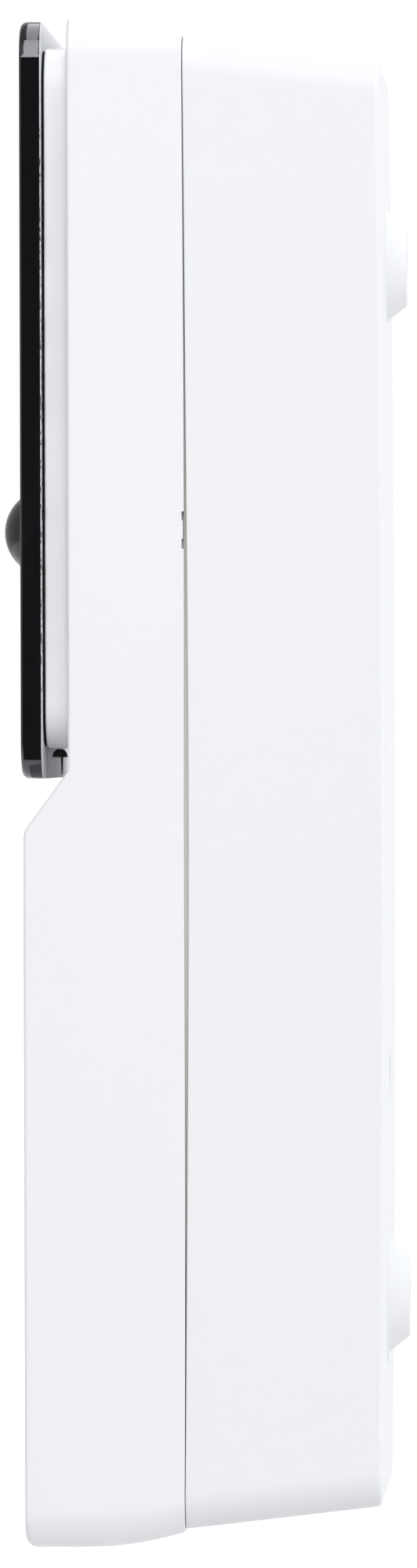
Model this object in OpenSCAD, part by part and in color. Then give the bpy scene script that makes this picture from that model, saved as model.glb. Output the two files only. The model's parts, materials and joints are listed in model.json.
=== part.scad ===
/* [Overall] */
// Height of the front housing, top to bottom
body_h = 185; // [178:0.5:225]
// Width across the two side faces at the seam
body_w = 70; // [69:0.5:85]
// Depth of the rear housing, from its flat back to the seam
rear_depth = 24; // [23.5:0.1:29]
// Depth of the front housing behind the upper front face
front_depth = 14.2; // [13.8:0.1:17]
// How far the lower front face stands ahead of the upper one
step_depth = 5.4; // [4.4:0.1:6.5]
// Front-view corner radius of both housings
corner_r = 4.5; // [3.5:0.1:5.5]
// Radius of the bottom front edge
chin_r = 1.3; // [0.6:0.1:2]
// Radius of the top front edge
brow_r = 0.4; // [0.3:0.1:1]

/* [Walls] */
// Wall of the front housing
front_wall = 2.2; // [1.8:0.1:2.7]
// Wall of the rear housing's sides
rear_wall = 2.4; // [2:0.1:2.9]
// Floor of the rear housing
rear_floor = 2.6; // [2:0.1:3.2]
// Taper of the rear housing's top and bottom, each, over its depth
rear_draft_z = 2.7; // [1:0.1:4]
// Taper of the rear housing's two sides, each, over its depth
rear_draft_x = 1.2; // [0.4:0.1:2]
// Crown of the back face along its height
back_crown = 0.6; // [0:0.1:1]
// Overhang of the front housing above the rear one, the rain lip
rain_lip = 2.3; // [1:0.1:3]
// Rise of the front housing's underside from its front to the seam
chin_rise = 1.9; // [1:0.1:3]
// Step between the two housings at the bottom of the seam
chin_step = 0.3; // [0.1:0.1:1]
// Gap of the seam, filled by the gasket
seam_gap = 0.3; // [0.2:0.05:0.6]
// How far the seam gasket lies inside the outer faces
gasket_inset = 0.5; // [0.3:0.1:0.8]
// Width of the seam gasket's ring
gasket_w = 1.2; // [0.9:0.1:1.5]

/* [Wall mounting] */
// Spacing of the two wall screw holes
wall_screw_spacing = 127; // [110:0.5:135]
// Diameter of the wall screw holes
wall_screw_d = 4.5; // [3.5:0.1:5]
// Height of the two feet behind the back face
foot_h = 2.3; // [1.5:0.1:3]
// Diameter of a foot at its base
foot_base_d = 14; // [12:0.1:16]
// Diameter of a foot's flat end
foot_tip_d = 9.8; // [8:0.1:11]
// Height of the cable entry, from the middle of the body
cable_z = -37; // [-40:0.5:-35]
// Diameter of the hole for the cable grommet
cable_hole_d = 7; // [6:0.1:8]
// Diameter of the grommet's own bore
cable_bore_d = 4.2; // [3:0.1:5]

/* [Upper panel] */
// Height of the black glass panel
panel_h = 91.6; // [88:0.1:95]
// Width of the glass panel
panel_w = 69; // [65:0.5:69]
// Thickness of the glass panel
panel_t = 2.5; // [2:0.1:3]
// Front-view corner radius of the glass panel
panel_r = 4.6; // [3.5:0.1:6]
// Margin between the panel's top edge and the housing's top
panel_margin = 0.4; // [0.3:0.1:1.5]
// Thickness of the white layer printed on the panel's back
backing_t = 0.05; // [0.05:0.01:0.15]
// Thickness of the adhesive tape behind the panel
tape_t = 0.3; // [0.2:0.05:0.5]
// How far the panel overhangs its frame on every side
panel_overhang = 3.1; // [2:0.1:3.5]
// Thickness of the frame that carries the panel
frame_t = 2.85; // [2.5:0.05:3.5]
// Front-view corner radius of that frame
frame_r = 5; // [3.5:0.1:6]

/* [Camera] */
// Distance of the camera's axis below the panel's top
camera_drop = 24.1; // [22:0.1:26]
// Diameter of the camera window
window_d = 16; // [15:0.1:17]
// Thickness of the camera window
window_t = 1; // [0.8:0.1:1.4]
// Diameter of the lens barrel
barrel_d = 10; // [9:0.1:10.5]
// Diameter of the front lens
lens_d = 8; // [7:0.1:8.5]
// Side of the square lens holder
holder_w = 14; // [12.5:0.1:15]
// Diameter of an infrared emitter
emitter_d = 3; // [2.8:0.1:3.4]
// Distance of the emitters from the camera's axis, sideways
emitter_x = 15; // [14:0.1:17]
// Distance of the emitters from the camera's axis, up and down
emitter_z = 7; // [5:0.1:9]

/* [Motion sensor] */
// Distance of the motion sensor's axis below the panel's top
pir_drop = 61.3; // [56:0.1:63]
// Diameter of the sensor dome at the panel's face
pir_d = 11; // [10.2:0.1:13.5]
// How far the dome stands out of the panel
pir_proud = 3.6; // [2.5:0.1:4.2]
// Wall of the sensor dome
pir_wall = 0.6; // [0.5:0.05:0.8]
// Diameter of the sensor can
pir_can_d = 9.1; // [8.5:0.1:9.4]

/* [Bell button] */
// Distance of the button's axis below the foot of the slope
button_drop = 32; // [28:0.5:33]
// Diameter of the button's face
button_d = 28; // [23:0.1:28.6]
// How far the button stands out of the lower face
button_proud = 1; // [0.5:0.1:1.5]
// Travel of the button and of the switch below it
button_travel = 0.5; // [0.3:0.05:0.7]
// Width of the light ring around the button
ring_w = 2.7; // [2:0.1:3.5]
// Clearance between the button and the light ring
button_gap = 0.2; // [0.1:0.05:0.3]
// Wire diameter of the return spring
spring_wire = 0.6; // [0.4:0.05:0.7]
// Mean diameter of the return spring
spring_d = 11; // [10:0.1:12]

/* [Speaker] */
// Distance of the speaker's axis above the bottom of the body
speaker_rise = 21; // [19:0.1:23]
// Diameter of the speaker's frame
speaker_d = 28; // [24:0.1:29]
// Diameter of one hole in the grille
grille_d = 1.6; // [1:0.1:1.8]
// Spacing of the grille's holes
grille_pitch = 3.4; // [3:0.1:3.8]

/* [Boards and cells] */
// Thickness of the large circuit boards
board_t = 1.6; // [1:0.1:1.8]
// Width of the main board
main_board_w = 50; // [44:0.5:51]
// Diameter of a battery cell
cell_d = 18.4; // [18:0.1:18.6]
// Length of a battery cell
cell_l = 65.2; // [60:0.1:66]
// Wall of the battery holder
holder_wall = 1.2; // [1:0.1:1.5]

/* [Hidden] */

$fn = 48;
sliver = 0.01;

// Depths, from the wall plane at y = 0 towards the front at -y
back_y = -foot_h;
floor_y = back_y - rear_floor;
seam_y = back_y - rear_depth;
rear_edge_y = seam_y + seam_gap / 2;
front_edge_y = seam_y - seam_gap / 2;
upper_y = seam_y - front_depth;
lower_y = upper_y - step_depth;
upper_in_y = upper_y + front_wall;
lower_in_y = lower_y + front_wall;
frame_y = upper_y - frame_t;
tape_y = frame_y - tape_t;
backing_y = tape_y - backing_t;
panel_y = backing_y - panel_t;

// Heights, from the middle of the body
top_z = body_h / 2;
bottom_z = -body_h / 2;
rear_top_z = top_z - rain_lip;
rear_bottom_z = bottom_z + chin_rise + chin_step;
panel_top_z = top_z - panel_margin;
panel_bottom_z = panel_top_z - panel_h;
frame_top_z = panel_top_z - panel_overhang;
frame_bottom_z = panel_bottom_z + panel_overhang + 0.6;
slope_top_z = panel_bottom_z + 0.9;
slope_run = 1.36;
slope_bottom_z = slope_top_z - step_depth * slope_run;
camera_z = panel_top_z - camera_drop;
pir_z = panel_top_z - pir_drop;
button_z = slope_bottom_z - button_drop;
speaker_z = bottom_z + speaker_rise;
foot_z = wall_screw_spacing / 2;

// Fits
fit = 0.05;
slack = 0.3;

// Back plate and main board of the front unit
plate_t = 1.8;
plate_recess = 0.2;
plate_y = front_edge_y - plate_recess;
plate_front_y = plate_y - plate_t;
main_rear_y = plate_front_y - 1.3;
main_front_y = main_rear_y - board_t;
main_top_z = top_z - 8.5;
main_bottom_z = bottom_z + 8.5;
plate_post_x = body_w / 2 - front_wall - 3.8;
plate_post_z = body_h / 2 - 12;
board_post_x = main_board_w / 2 - 4;
post_r = 2.8;
pilot_r = 1;
screw_head_r = 2;
screw_head_t = 1.2;

// Camera stack
camera_board_y = main_front_y - 0.8;
camera_board_t = 1.2;
lens_back_y = camera_board_y - camera_board_t - 2.6;
window_y = panel_y + 0.1;

// Button stack
ring_r = button_d / 2 + button_gap + ring_w;
ring_flange_t = 1;
ring_flange_y = lower_in_y + ring_flange_t;
button_flange_t = 1.2;
button_flange_y = ring_flange_y + 0.02;
button_back_y = button_flange_y + button_flange_t;
switch_h = 3.5;
plunger_proud = 1;
stem_l = 1.1;
stem_r = 1.75;
plunger_top_y = button_back_y + stem_l + 0.02;
switch_front_y = plunger_top_y + plunger_proud;
button_board_y = switch_front_y + switch_h;
button_board_rear_y = button_board_y + board_t;

// Places of small pieces
light_z = camera_z + 13.5;
frame_w = panel_w - 2 * panel_overhang;
frame_screw_x = emitter_x - 1.5;
sensor_board_t = 1;
sensor_board_top_z = light_z + 3.5;
sensor_board_bottom_z = pir_z - 8;
button_post_x = ring_r + 4.6;
board_post_z = body_h / 2 - 20;
pir_flange_r = pir_d / 2 + 2;
pir_flange_t = 1;
boot_x = 20;
boot_r = 0.95;
boot_h = 1;
boot_rib_h = 3.2;
boot_rib_t = 0.26;
boot_shift = 0.2;
processor_z = 16;
radio_z = 36;
rivet_r = 1.1;
lip_h = 2.5;
mesh_t = 0.2;
speaker_y = lower_in_y + mesh_t + 0.8;
reset_x = -10;
reset_z = 58;
reset_r = 1.5;
reset_flange_r = 2;
reset_nose_r = 0.9;
reset_switch_h = 1.1;
pry_z = 28.5;
pry_l = 4.2;
pry_depth = 0.35;
terminal_w = 18;
terminal_pitch = 9;
terminal_t = 9;
flange_clear_x = cable_hole_d / 2 + 8;

// Rear housing's small features
foot_pad_t = 1.2;
grommet_flange_t = 1.2;

// Battery holder
cell_x = cell_d / 2 + 0.5;
cell_y = floor_y - holder_wall - cell_d / 2;
cells_bottom_z = -19.5;
cells_top_z = cells_bottom_z + cell_l;
spring_room = 4;
plate_room = 0.8;
holder_bottom_z = cells_bottom_z - spring_room - 1.5;
holder_top_z = cells_top_z + plate_room + 1.5;
holder_half_w = 2 * cell_d / 2 + 1 + holder_wall;

// Power board
power_z = cable_z - 13;
power_h = 14;
power_w = 50;
power_rear_y = floor_y - 3.6;
power_front_y = power_rear_y - board_t;
power_post_x = power_w / 2 - 3;
contact_x = 13;
contact_pitch = 3;

// Angles a0 to a1 around the centre c, in n steps
function arc(c, r, a0, a1, n = 8) =
    [for (i = [0:n]) let (a = a0 + (a1 - a0) * i / n) c + r * [cos(a), sin(a)]];

// Arc of radius r that rounds the corner b between the points a and c
function rounded(a, b, c, r, n = 6) =
    let (
        u = (a - b) / norm(a - b),
        v = (c - b) / norm(c - b),
        half = acos(u * v) / 2,
        mid = b + (u + v) / norm(u + v) * r / sin(half),
        start = b + u * r / tan(half) - mid,
        a0 = atan2(start.y, start.x),
        turn = sign(u.x * v.y - u.y * v.x) * -(180 - 2 * half)
    ) arc(mid, r, a0, a0 + turn, n);

module rounded_rect(w, z0, z1, r) {
    polygon(concat(
        arc([w / 2 - r, z1 - r], r, 0, 90),
        arc([-w / 2 + r, z1 - r], r, 90, 180),
        arc([-w / 2 + r, z0 + r], r, 180, 270),
        arc([w / 2 - r, z0 + r], r, 270, 360)
    ));
}

// Upright rounded plate between the depths y0 and y1
module slab(w, z0, z1, r, y0, y1) {
    translate([0, y1, 0])
        rotate([90, 0, 0])
            linear_extrude(y1 - y0)
                rounded_rect(w, z0, z1, r);
}

// Round rod along the depth, from y0 to y1
module rod(r, y0, y1) {
    translate([0, y0, 0])
        rotate([-90, 0, 0])
            cylinder(r = r, h = y1 - y0);
}

// Cone along the depth, with radius r0 at y0 and r1 at y1
module cone(r0, r1, y0, y1) {
    translate([0, y0, 0])
        rotate([-90, 0, 0])
            cylinder(r1 = r0, r2 = r1, h = y1 - y0);
}

// Ring along the depth
module ring(r_out, r_in, y0, y1) {
    difference() {
        rod(r_out, y0, y1);
        rod(r_in, y0 - 1, y1 + 1);
    }
}

// Box centred on x and z, from y0 to y1
module block(w, h, y0, y1) {
    translate([-w / 2, y0, -h / 2])
        cube([w, y1 - y0, h]);
}

module at(x, z) {
    translate([x, 0, z])
        children();
}

module four(x, z) {
    for (sx = [-1, 1], sz = [-1, 1])
        at(sx * x, sz * z)
            children();
}

// Pan-head screw with its head towards +y, whose underside is at seat_y
module screw(seat_y, shank_l, head_r = screw_head_r, head_t = screw_head_t, shank_r = pilot_r) {
    difference() {
        union() {
            rod(head_r, seat_y, seat_y + head_t);
            rod(shank_r - 0.02, seat_y - shank_l, seat_y);
        }
        block(0.5, head_r * 1.5, seat_y + head_t * 0.5, seat_y + head_t + 1);
        block(head_r * 1.5, 0.5, seat_y + head_t * 0.5, seat_y + head_t + 1);
    }
}

// Helical wire around the depth axis, from y0 to y1, as one closed tube
module coil(mean_r, wire_r, y0, y1, turns, sides = 8, per_turn = 20) {
    steps = turns * per_turn;
    rings = [for (i = [0:steps]) let (a = 360 * i / per_turn, y = y0 + (y1 - y0) * i / steps)
        for (j = [0:sides - 1]) let (b = 360 * j / sides, r = mean_r + wire_r * cos(b))
            [r * cos(a), y + wire_r * sin(b), r * sin(a)]];
    walls = [for (i = [0:steps - 1], j = [0:sides - 1]) let (k = (j + 1) % sides)
        [i * sides + j, i * sides + k, (i + 1) * sides + k, (i + 1) * sides + j]];
    start = [for (j = [sides - 1:-1:0]) j];
    end = [for (j = [0:sides - 1]) steps * sides + j];
    polyhedron(rings, concat([start, end], walls));
}

// ---- rear unit ----

// Tapered body of the rear housing, shrunk by t, with its front at y0 and its crowned back at y1
module rear_form(t, y0, y1, crown) {
    back_w = body_w - 2 * rear_draft_x;
    half_h = (rear_top_z - rear_bottom_z) / 2 - rear_draft_z - corner_r;
    mid_z = (rear_top_z + rear_bottom_z) / 2;
    hull() {
        slab(body_w - 2 * t, rear_bottom_z + t, rear_top_z - t, corner_r - t / 2, y0, y0 + sliver);
        slab(back_w - 2 * t, rear_bottom_z + rear_draft_z + t, rear_top_z - rear_draft_z - t,
            corner_r - t / 2, y1 - crown - sliver, y1 - crown);
        if (crown > 0)
            for (i = [-3:3])
                at(0, mid_z + half_h * i / 4)
                    block(back_w - 2 * t - corner_r * 1.2, sliver, y1 - crown - sliver,
                        y1 - crown * i * i / 16);
    }
}

module rear_housing() {
    color("whitesmoke")
        difference() {
            union() {
                difference() {
                    rear_form(0, rear_edge_y, back_y, back_crown);
                    rear_form(rear_wall, rear_edge_y - sliver, floor_y, 0);
                }
                for (s = [-1, 1])
                    at(0, s * foot_z) {
                        cone(foot_base_d / 2, foot_tip_d / 2, -foot_h - back_crown, 0);
                        rod(foot_base_d / 2, floor_y - foot_pad_t, back_y - back_crown);
                    }
                for (s = [-1, 1])
                    at(s * power_post_x, power_z)
                        rod(post_r, power_rear_y, back_y - 1);
            }
            for (s = [-1, 1])
                at(0, s * foot_z)
                    rod(wall_screw_d / 2, floor_y - foot_pad_t - 1, 1);
            at(0, cable_z)
                rod(cable_hole_d / 2, floor_y - 1, 1);
            for (s = [-1, 1])
                at(s * power_post_x, power_z)
                    rod(pilot_r, power_rear_y - 1, power_rear_y + 4.2);
            four(holder_half_w - 4, (holder_top_z - holder_bottom_z) / 2 - 3.5)
                translate([0, 0, (holder_top_z + holder_bottom_z) / 2])
                    rod(pilot_r, floor_y - 2, floor_y + 1.6);
        }
}

module cable_grommet() {
    flange_r = cable_hole_d / 2 + 1.4;
    color("dimgray")
        at(0, cable_z)
            difference() {
                union() {
                    rod(cable_hole_d / 2, floor_y - 0.5, back_y - back_crown / 2);
                    rod(flange_r, floor_y - grommet_flange_t, floor_y);
                }
                rod(cable_bore_d / 2, floor_y - 4, 1);
            }
}

module battery_holder() {
    h = holder_top_z - holder_bottom_z;
    mid_z = (holder_top_z + holder_bottom_z) / 2;
    base_y = floor_y - holder_wall;
    color("darkslategray")
        difference() {
            union() {
                at(0, mid_z)
                    block(2 * holder_half_w, h, base_y, floor_y);
                for (s = [-1, 1])
                    at(s * (holder_half_w - holder_wall / 2), mid_z)
                        block(holder_wall, h, base_y - 9, base_y + sliver);
                for (z = [holder_bottom_z + 0.75, holder_top_z - 0.75])
                    at(0, z)
                        block(2 * holder_half_w, 1.5, base_y - 14, base_y + sliver);
            }
            four(holder_half_w - 4, h / 2 - 3.5)
                translate([0, 0, mid_z])
                    rod(pilot_r + 0.2, floor_y - 5, floor_y + 1);
        }
}

module battery_cells() {
    color("steelblue")
        for (s = [-1, 1])
            translate([s * cell_x, cell_y, cells_bottom_z]) {
                cylinder(r = cell_d / 2, h = cell_l - 1.2);
                cylinder(r = 3.2, h = cell_l);
            }
}

// Springs at the cells' lower ends
module battery_springs() {
    turn_r = cell_d / 4;
    color("silver")
        for (s = [-1, 1])
            translate([s * cell_x, cell_y, cells_bottom_z - spring_room / 2])
                rotate([90, 0, 0])
                    coil(turn_r, 0.35, -spring_room / 2 + 0.4, spring_room / 2 - 0.4, 3);
}

module battery_plates() {
    color("gold")
        for (s = [-1, 1])
            translate([s * cell_x - 5, cell_y - 5, cells_top_z])
                cube([10, 10, plate_room]);
}

// Flat strips that run from the holder to the power board
module battery_leads() {
    end_z = power_z + power_h / 2 - 2;
    lead_x = flange_clear_x;
    color("goldenrod")
        for (s = [-1, 1])
            translate([s * lead_x - 1.5, 0, 0]) {
                translate([0, floor_y - 0.5, end_z])
                    cube([3, 0.4, holder_bottom_z - end_z]);
                translate([0, power_rear_y, end_z])
                    cube([3, floor_y - 0.1 - power_rear_y, 0.4]);
            }
}

module holder_screws() {
    h = holder_top_z - holder_bottom_z;
    color("silver")
        translate([0, 0, (holder_top_z + holder_bottom_z) / 2])
            four(holder_half_w - 4, h / 2 - 3.5)
                mirror([0, 1, 0])
                    screw(-(floor_y - holder_wall), 2.6, 1.8, 0.9);
}

module power_board() {
    color("darkgreen")
        difference() {
            at(0, power_z)
                block(power_w, power_h, power_front_y, power_rear_y);
            for (s = [-1, 1])
                at(s * power_post_x, power_z)
                    rod(pilot_r + 0.2, power_front_y - 1, power_rear_y + 1);
        }
}

module power_board_screws() {
    color("silver")
        for (s = [-1, 1])
            at(s * power_post_x, power_z)
                mirror([0, 1, 0])
                    screw(-power_front_y, board_t + 3.8, screw_head_r, screw_head_t);
}

module terminal_block() {
    color("seagreen")
        at(-6, power_z)
            difference() {
                block(terminal_w, 10, power_front_y - terminal_t, power_front_y);
                for (s = [-1, 1])
                    at(s * terminal_pitch / 2, 0) {
                        rod(2, power_front_y - terminal_t - 1, power_front_y - 3);
                        translate([-2, power_front_y - 4.5, -6])
                            cube([4, 3, 6]);
                    }
            }
}

module terminal_screws() {
    color("silver")
        at(-6, power_z)
            for (s = [-1, 1])
                at(s * terminal_pitch / 2, 0)
                    difference() {
                        rod(1.9, power_front_y - terminal_t + 1, power_front_y - 4.6);
                        block(0.6, 5, power_front_y - terminal_t, power_front_y - terminal_t + 1.8);
                    }
}

module contact_block() {
    color("black")
        at(contact_x, power_z)
            difference() {
                block(contact_pitch * 4, 6, plate_y + 3.5, power_front_y);
                for (i = [-1.5:1:1.5])
                    at(i * contact_pitch, 0)
                        rod(0.8, plate_y + 2, power_front_y - 2);
            }
}

// Sprung pins that meet the front unit's contacts
module contact_pins() {
    color("gold")
        at(contact_x, power_z)
            for (i = [-1.5:1:1.5])
                at(i * contact_pitch, 0) {
                    rod(0.5, plate_y + 0.05, plate_y + 3.5);
                    rod(0.75, plate_y + 3.5, power_front_y - 2.1);
                }
}

module seam_gasket() {
    color("darkgray")
        difference() {
            slab(body_w - 2 * gasket_inset, rear_bottom_z + gasket_inset, rear_top_z - gasket_inset,
                corner_r - gasket_inset, front_edge_y, rear_edge_y);
            slab(body_w - 2 * gasket_inset - 2 * gasket_w, rear_bottom_z + gasket_inset + gasket_w,
                rear_top_z - gasket_inset - gasket_w, corner_r - gasket_inset - gasket_w,
                front_edge_y - 1, rear_edge_y + 1);
        }
}

// ---- front unit ----

// Side profile of the front housing, shrunk by t, with its open back at depth y1
module front_profile(t, y1) {
    rise = slope_top_z - slope_bottom_z;
    shift = t * (norm([rise, step_depth]) - rise) / step_depth;
    flat_y = seam_y - front_depth * 0.85;
    hem = bottom_z + t;
    back_bottom = [y1, hem + chin_rise];
    upper = [upper_y + t, slope_top_z - shift];
    lower = [lower_y + t, slope_bottom_z - shift];
    front_bottom = [lower_y + t, hem];
    front_top = [upper_y + t, top_z - t];
    polygon(concat(
        [for (i = [8:-1:0]) let (s = i / 8)
            [flat_y + (y1 - flat_y) * s, hem + chin_rise * s * s]],
        rounded([flat_y, hem], front_bottom, lower, max(chin_r - t / 2, 0.2)),
        rounded(front_bottom, lower, upper, 2.5),
        [upper],
        rounded(upper, front_top, [y1, top_z - t], max(brow_r - t / 2, 0.2)),
        [[y1, top_z - t]]
    ));
}

module front_form(t, y1) {
    intersection() {
        rotate([90, 0, 90])
            linear_extrude(body_w + 2, center = true)
                front_profile(t, y1);
        slab(body_w - 2 * t, bottom_z + t, top_z - t, corner_r - t / 2, lower_y - 1, y1 + 1);
    }
}

module front_housing() {
    color("white")
        difference() {
            union() {
                difference() {
                    front_form(0, front_edge_y);
                    front_form(front_wall, front_edge_y + sliver);
                }
                // Posts for the back plate, the main board and the button's board
                for (s = [-1, 1]) {
                    at(s * plate_post_x, plate_post_z)
                        rod(post_r, upper_in_y - 0.5, plate_front_y);
                    at(s * plate_post_x, -plate_post_z)
                        rod(post_r, lower_in_y - 0.5, plate_front_y);
                    at(s * board_post_x, board_post_z)
                        rod(post_r, upper_in_y - 0.5, main_front_y);
                    at(s * board_post_x, -board_post_z)
                        rod(post_r, lower_in_y - 0.5, main_front_y);
                    at(s * button_post_x, button_z)
                        rod(post_r, lower_in_y - 0.5, button_board_y);
                }
            }
            four(plate_post_x, plate_post_z)
                rod(pilot_r, plate_front_y - 7, plate_front_y + 1);
            four(board_post_x, board_post_z)
                rod(pilot_r, main_front_y - 6, main_front_y + 1);
            for (s = [-1, 1])
                at(s * button_post_x, button_z)
                    rod(pilot_r, button_board_y - 5, button_board_y + 1);
            // Camera, motion sensor and emitters
            at(0, camera_z)
                rod(barrel_d / 2 + 0.4, upper_y - 1, upper_in_y + 1);
            at(0, pir_z)
                rod(pir_can_d / 2 + slack, upper_y - 1, upper_in_y + 1);
            emitter_places()
                rod(emitter_d / 2 + 0.2, upper_y - 1, upper_in_y + 1);
            frame_screw_places()
                rod(pilot_r + 0.2, upper_y - 1, upper_in_y + 1);
            // Light ring and speaker grille
            at(0, button_z)
                rod(ring_r + fit, lower_y - 1, lower_in_y + 1);
            for (x = [-2.5:1:2.5], z = [-1:1])
                at(x * grille_pitch, speaker_z + z * grille_pitch)
                    rod(grille_d / 2, lower_y - 1, lower_in_y + 1);
            // Slot for the tool that springs the two housings apart
            translate([body_w / 2 - front_wall - 1, front_edge_y - pry_depth, pry_z])
                cube([front_wall + 2, pry_depth + 1, pry_l]);
        }
}

// Places of the four emitters and of the light sensor
module emitter_places() {
    at(0, camera_z)
        four(emitter_x, emitter_z)
            children();
    at(0, light_z)
        children();
}

// Places of the screws that clamp the sensor board and the frame to the wall between them
module frame_screw_places() {
    for (s = [-1, 1], z = [sensor_board_bottom_z + 3.6, sensor_board_top_z - 3.6])
        at(s * frame_screw_x, z)
            children();
}

module panel_frame() {
    color("ghostwhite")
        difference() {
            slab(frame_w, frame_bottom_z, frame_top_z, frame_r, frame_y, upper_y);
            at(0, camera_z)
                rod(window_d / 2 + 0.3, frame_y - 1, upper_y + 1);
            at(0, pir_z) {
                rod(pir_can_d / 2 + slack, frame_y - 1, upper_y + 1);
                rod(pir_flange_r + fit, frame_y - 1, frame_y + pir_flange_t);
            }
            emitter_places()
                rod(emitter_d / 2 + 0.2, frame_y - 1, upper_y + 1);
            frame_screw_places()
                rod(pilot_r, frame_y + 0.8, upper_y + 1);
        }
}

module frame_screws() {
    color("silver")
        frame_screw_places()
            screw(upper_in_y + sensor_board_t, sensor_board_t + front_wall + frame_t - 1);
}

// The holes that the window and the dome need in the glass and in the layers behind it
module layer_holes(y0, y1) {
    at(0, camera_z)
        rod(window_d / 2 + fit, y0 - 1, y1 + 1);
    at(0, pir_z)
        rod(pir_d / 2 + 0.1, y0 - 1, y1 + 1);
}

module panel_tape() {
    color("black")
        difference() {
            slab(frame_w - 0.6, frame_bottom_z + 0.3, frame_top_z - 0.3, frame_r - 0.3, tape_y, frame_y);
            layer_holes(tape_y, frame_y);
            emitter_places()
                rod(emitter_d / 2 + 0.2, tape_y - 1, frame_y + 1);
        }
}

module panel_backing() {
    color("lavender")
        difference() {
            slab(panel_w, panel_bottom_z, panel_top_z, panel_r, backing_y, tape_y);
            layer_holes(backing_y, tape_y);
            emitter_places()
                rod(emitter_d / 2 + 0.2, backing_y - 1, tape_y + 1);
        }
}

// Black glass whose front edge is chamfered
module glass_panel() {
    color("black")
        difference() {
            hull() {
                slab(panel_w, panel_bottom_z, panel_top_z, panel_r, panel_y + 0.3, backing_y);
                slab(panel_w - 0.6, panel_bottom_z + 0.3, panel_top_z - 0.3, panel_r - 0.3,
                    panel_y, panel_y + 0.3);
            }
            layer_holes(panel_y, backing_y);
        }
}

module camera_window() {
    color("gray", 0.6)
        at(0, camera_z)
            rod(window_d / 2, window_y, window_y + window_t);
}

module lens_bezel() {
    color("black")
        at(0, camera_z)
            difference() {
                rod(window_d / 2, window_y + window_t, upper_y);
                cone(window_d / 2 - 1, barrel_d / 2 + 0.2, window_y + window_t - sliver,
                    window_y + window_t + 2);
                rod(barrel_d / 2 + 0.2, window_y + window_t + 1, upper_y + 1);
            }
}

module lens_barrel() {
    color("black")
        at(0, camera_z)
            difference() {
                rod(barrel_d / 2, window_y + window_t + 1.2, lens_back_y);
                rod(lens_d / 2, window_y + window_t, window_y + window_t + 2.4);
            }
}

// Front lens, a shallow dome in the barrel's mouth
module front_lens() {
    rim_y = window_y + window_t + 2.4;
    dome_h = 1.5;
    lens_r = lens_d / 2;
    dome_r = (lens_r * lens_r + dome_h * dome_h) / (2 * dome_h);
    color("darkslateblue")
        translate([0, rim_y, camera_z])
            rotate([90, 0, 0])
                rotate_extrude()
                    polygon(concat([[0, 0]],
                        arc([0, dome_h - dome_r], dome_r, asin(1 - dome_h / dome_r), 90, 12)));
}

module camera_holder() {
    color("black")
        at(0, camera_z)
            difference() {
                block(holder_w, holder_w, lens_back_y, camera_board_y - camera_board_t);
                block(9, 9, lens_back_y + 0.8, camera_board_y);
                rod(3.5, lens_back_y - 1, lens_back_y + 1);
            }
}

module image_sensor() {
    color("slategray")
        at(0, camera_z)
            block(7.4, 6.2, camera_board_y - camera_board_t - 0.9, camera_board_y - camera_board_t);
}

module camera_board() {
    color("darkgreen")
        at(0, camera_z)
            block(holder_w + 4, holder_w + 4, camera_board_y - camera_board_t, camera_board_y);
}

module camera_connector() {
    color("tan")
        at(0, camera_z)
            block(9, 3, camera_board_y, main_front_y);
}

// Board behind the upper wall that carries the emitters and both sensors
module sensor_board() {
    color("darkgreen")
        difference() {
            slab(2 * emitter_x + 5, sensor_board_bottom_z, sensor_board_top_z, 1.5,
                upper_in_y, upper_in_y + sensor_board_t);
            at(0, camera_z)
                rod(barrel_d / 2 + 1.5, upper_in_y - 1, upper_in_y + sensor_board_t + 1);
            frame_screw_places()
                rod(pilot_r + 0.2, upper_in_y - 1, upper_in_y + sensor_board_t + 1);
        }
}

module infrared_emitters() {
    color("midnightblue")
        at(0, camera_z)
            four(emitter_x, emitter_z)
                rod(emitter_d / 2, frame_y + 0.6, upper_in_y);
}

module light_sensor() {
    color("darkslateblue")
        at(0, light_z)
            rod(emitter_d / 2, frame_y + 0.6, upper_in_y);
}

// Domed lens on a neck and a flange, open at its back
module pir_lens() {
    neck_r = pir_d / 2;
    dome_r = (neck_r * neck_r + pir_proud * pir_proud) / (2 * pir_proud);
    centre_y = panel_y - pir_proud + dome_r;
    inner_r = dome_r - pir_wall;
    color("black")
        translate([0, centre_y, pir_z])
            rotate([90, 0, 0])
                rotate_extrude()
                    polygon(concat(
                        arc([0, 0], dome_r, asin((centre_y - panel_y) / dome_r), 90, 14),
                        arc([0, 0], inner_r, 90, asin((centre_y - panel_y) / inner_r), 14),
                        [[neck_r - pir_wall * 1.2, centre_y - frame_y - pir_flange_t],
                        [pir_flange_r, centre_y - frame_y - pir_flange_t],
                        [pir_flange_r, centre_y - frame_y],
                        [neck_r, centre_y - frame_y]]
                    ));
}

// Metal can with its base flange
module pir_sensor() {
    can_y = frame_y + pir_flange_t + 0.3;
    color("silver")
        at(0, pir_z) {
            rod(pir_can_d / 2 - 0.5, can_y, upper_in_y - 0.7);
            rod(pir_can_d / 2, upper_in_y - 0.8, upper_in_y);
        }
}

// Rubber boot of the microphone port: a domed cap under the frame's lower edge, on a thin rib
module microphone_boot() {
    boot_y = (upper_y + frame_y) / 2 - boot_shift;
    color("black")
        translate([boot_x, boot_y, frame_bottom_z]) {
            rotate_extrude()
                polygon([[0, -boot_h], [boot_r, -boot_h], [boot_r * 0.98, -boot_h * 0.65],
                    [boot_r * 0.8, -boot_h * 0.25], [boot_r * 0.4, 0], [0, 0]]);
            translate([-boot_r * 0.8, -boot_rib_t / 2, -boot_rib_h])
                cube([boot_r * 1.6, boot_rib_t, boot_rib_h - boot_h * 0.8]);
        }
}

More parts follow.
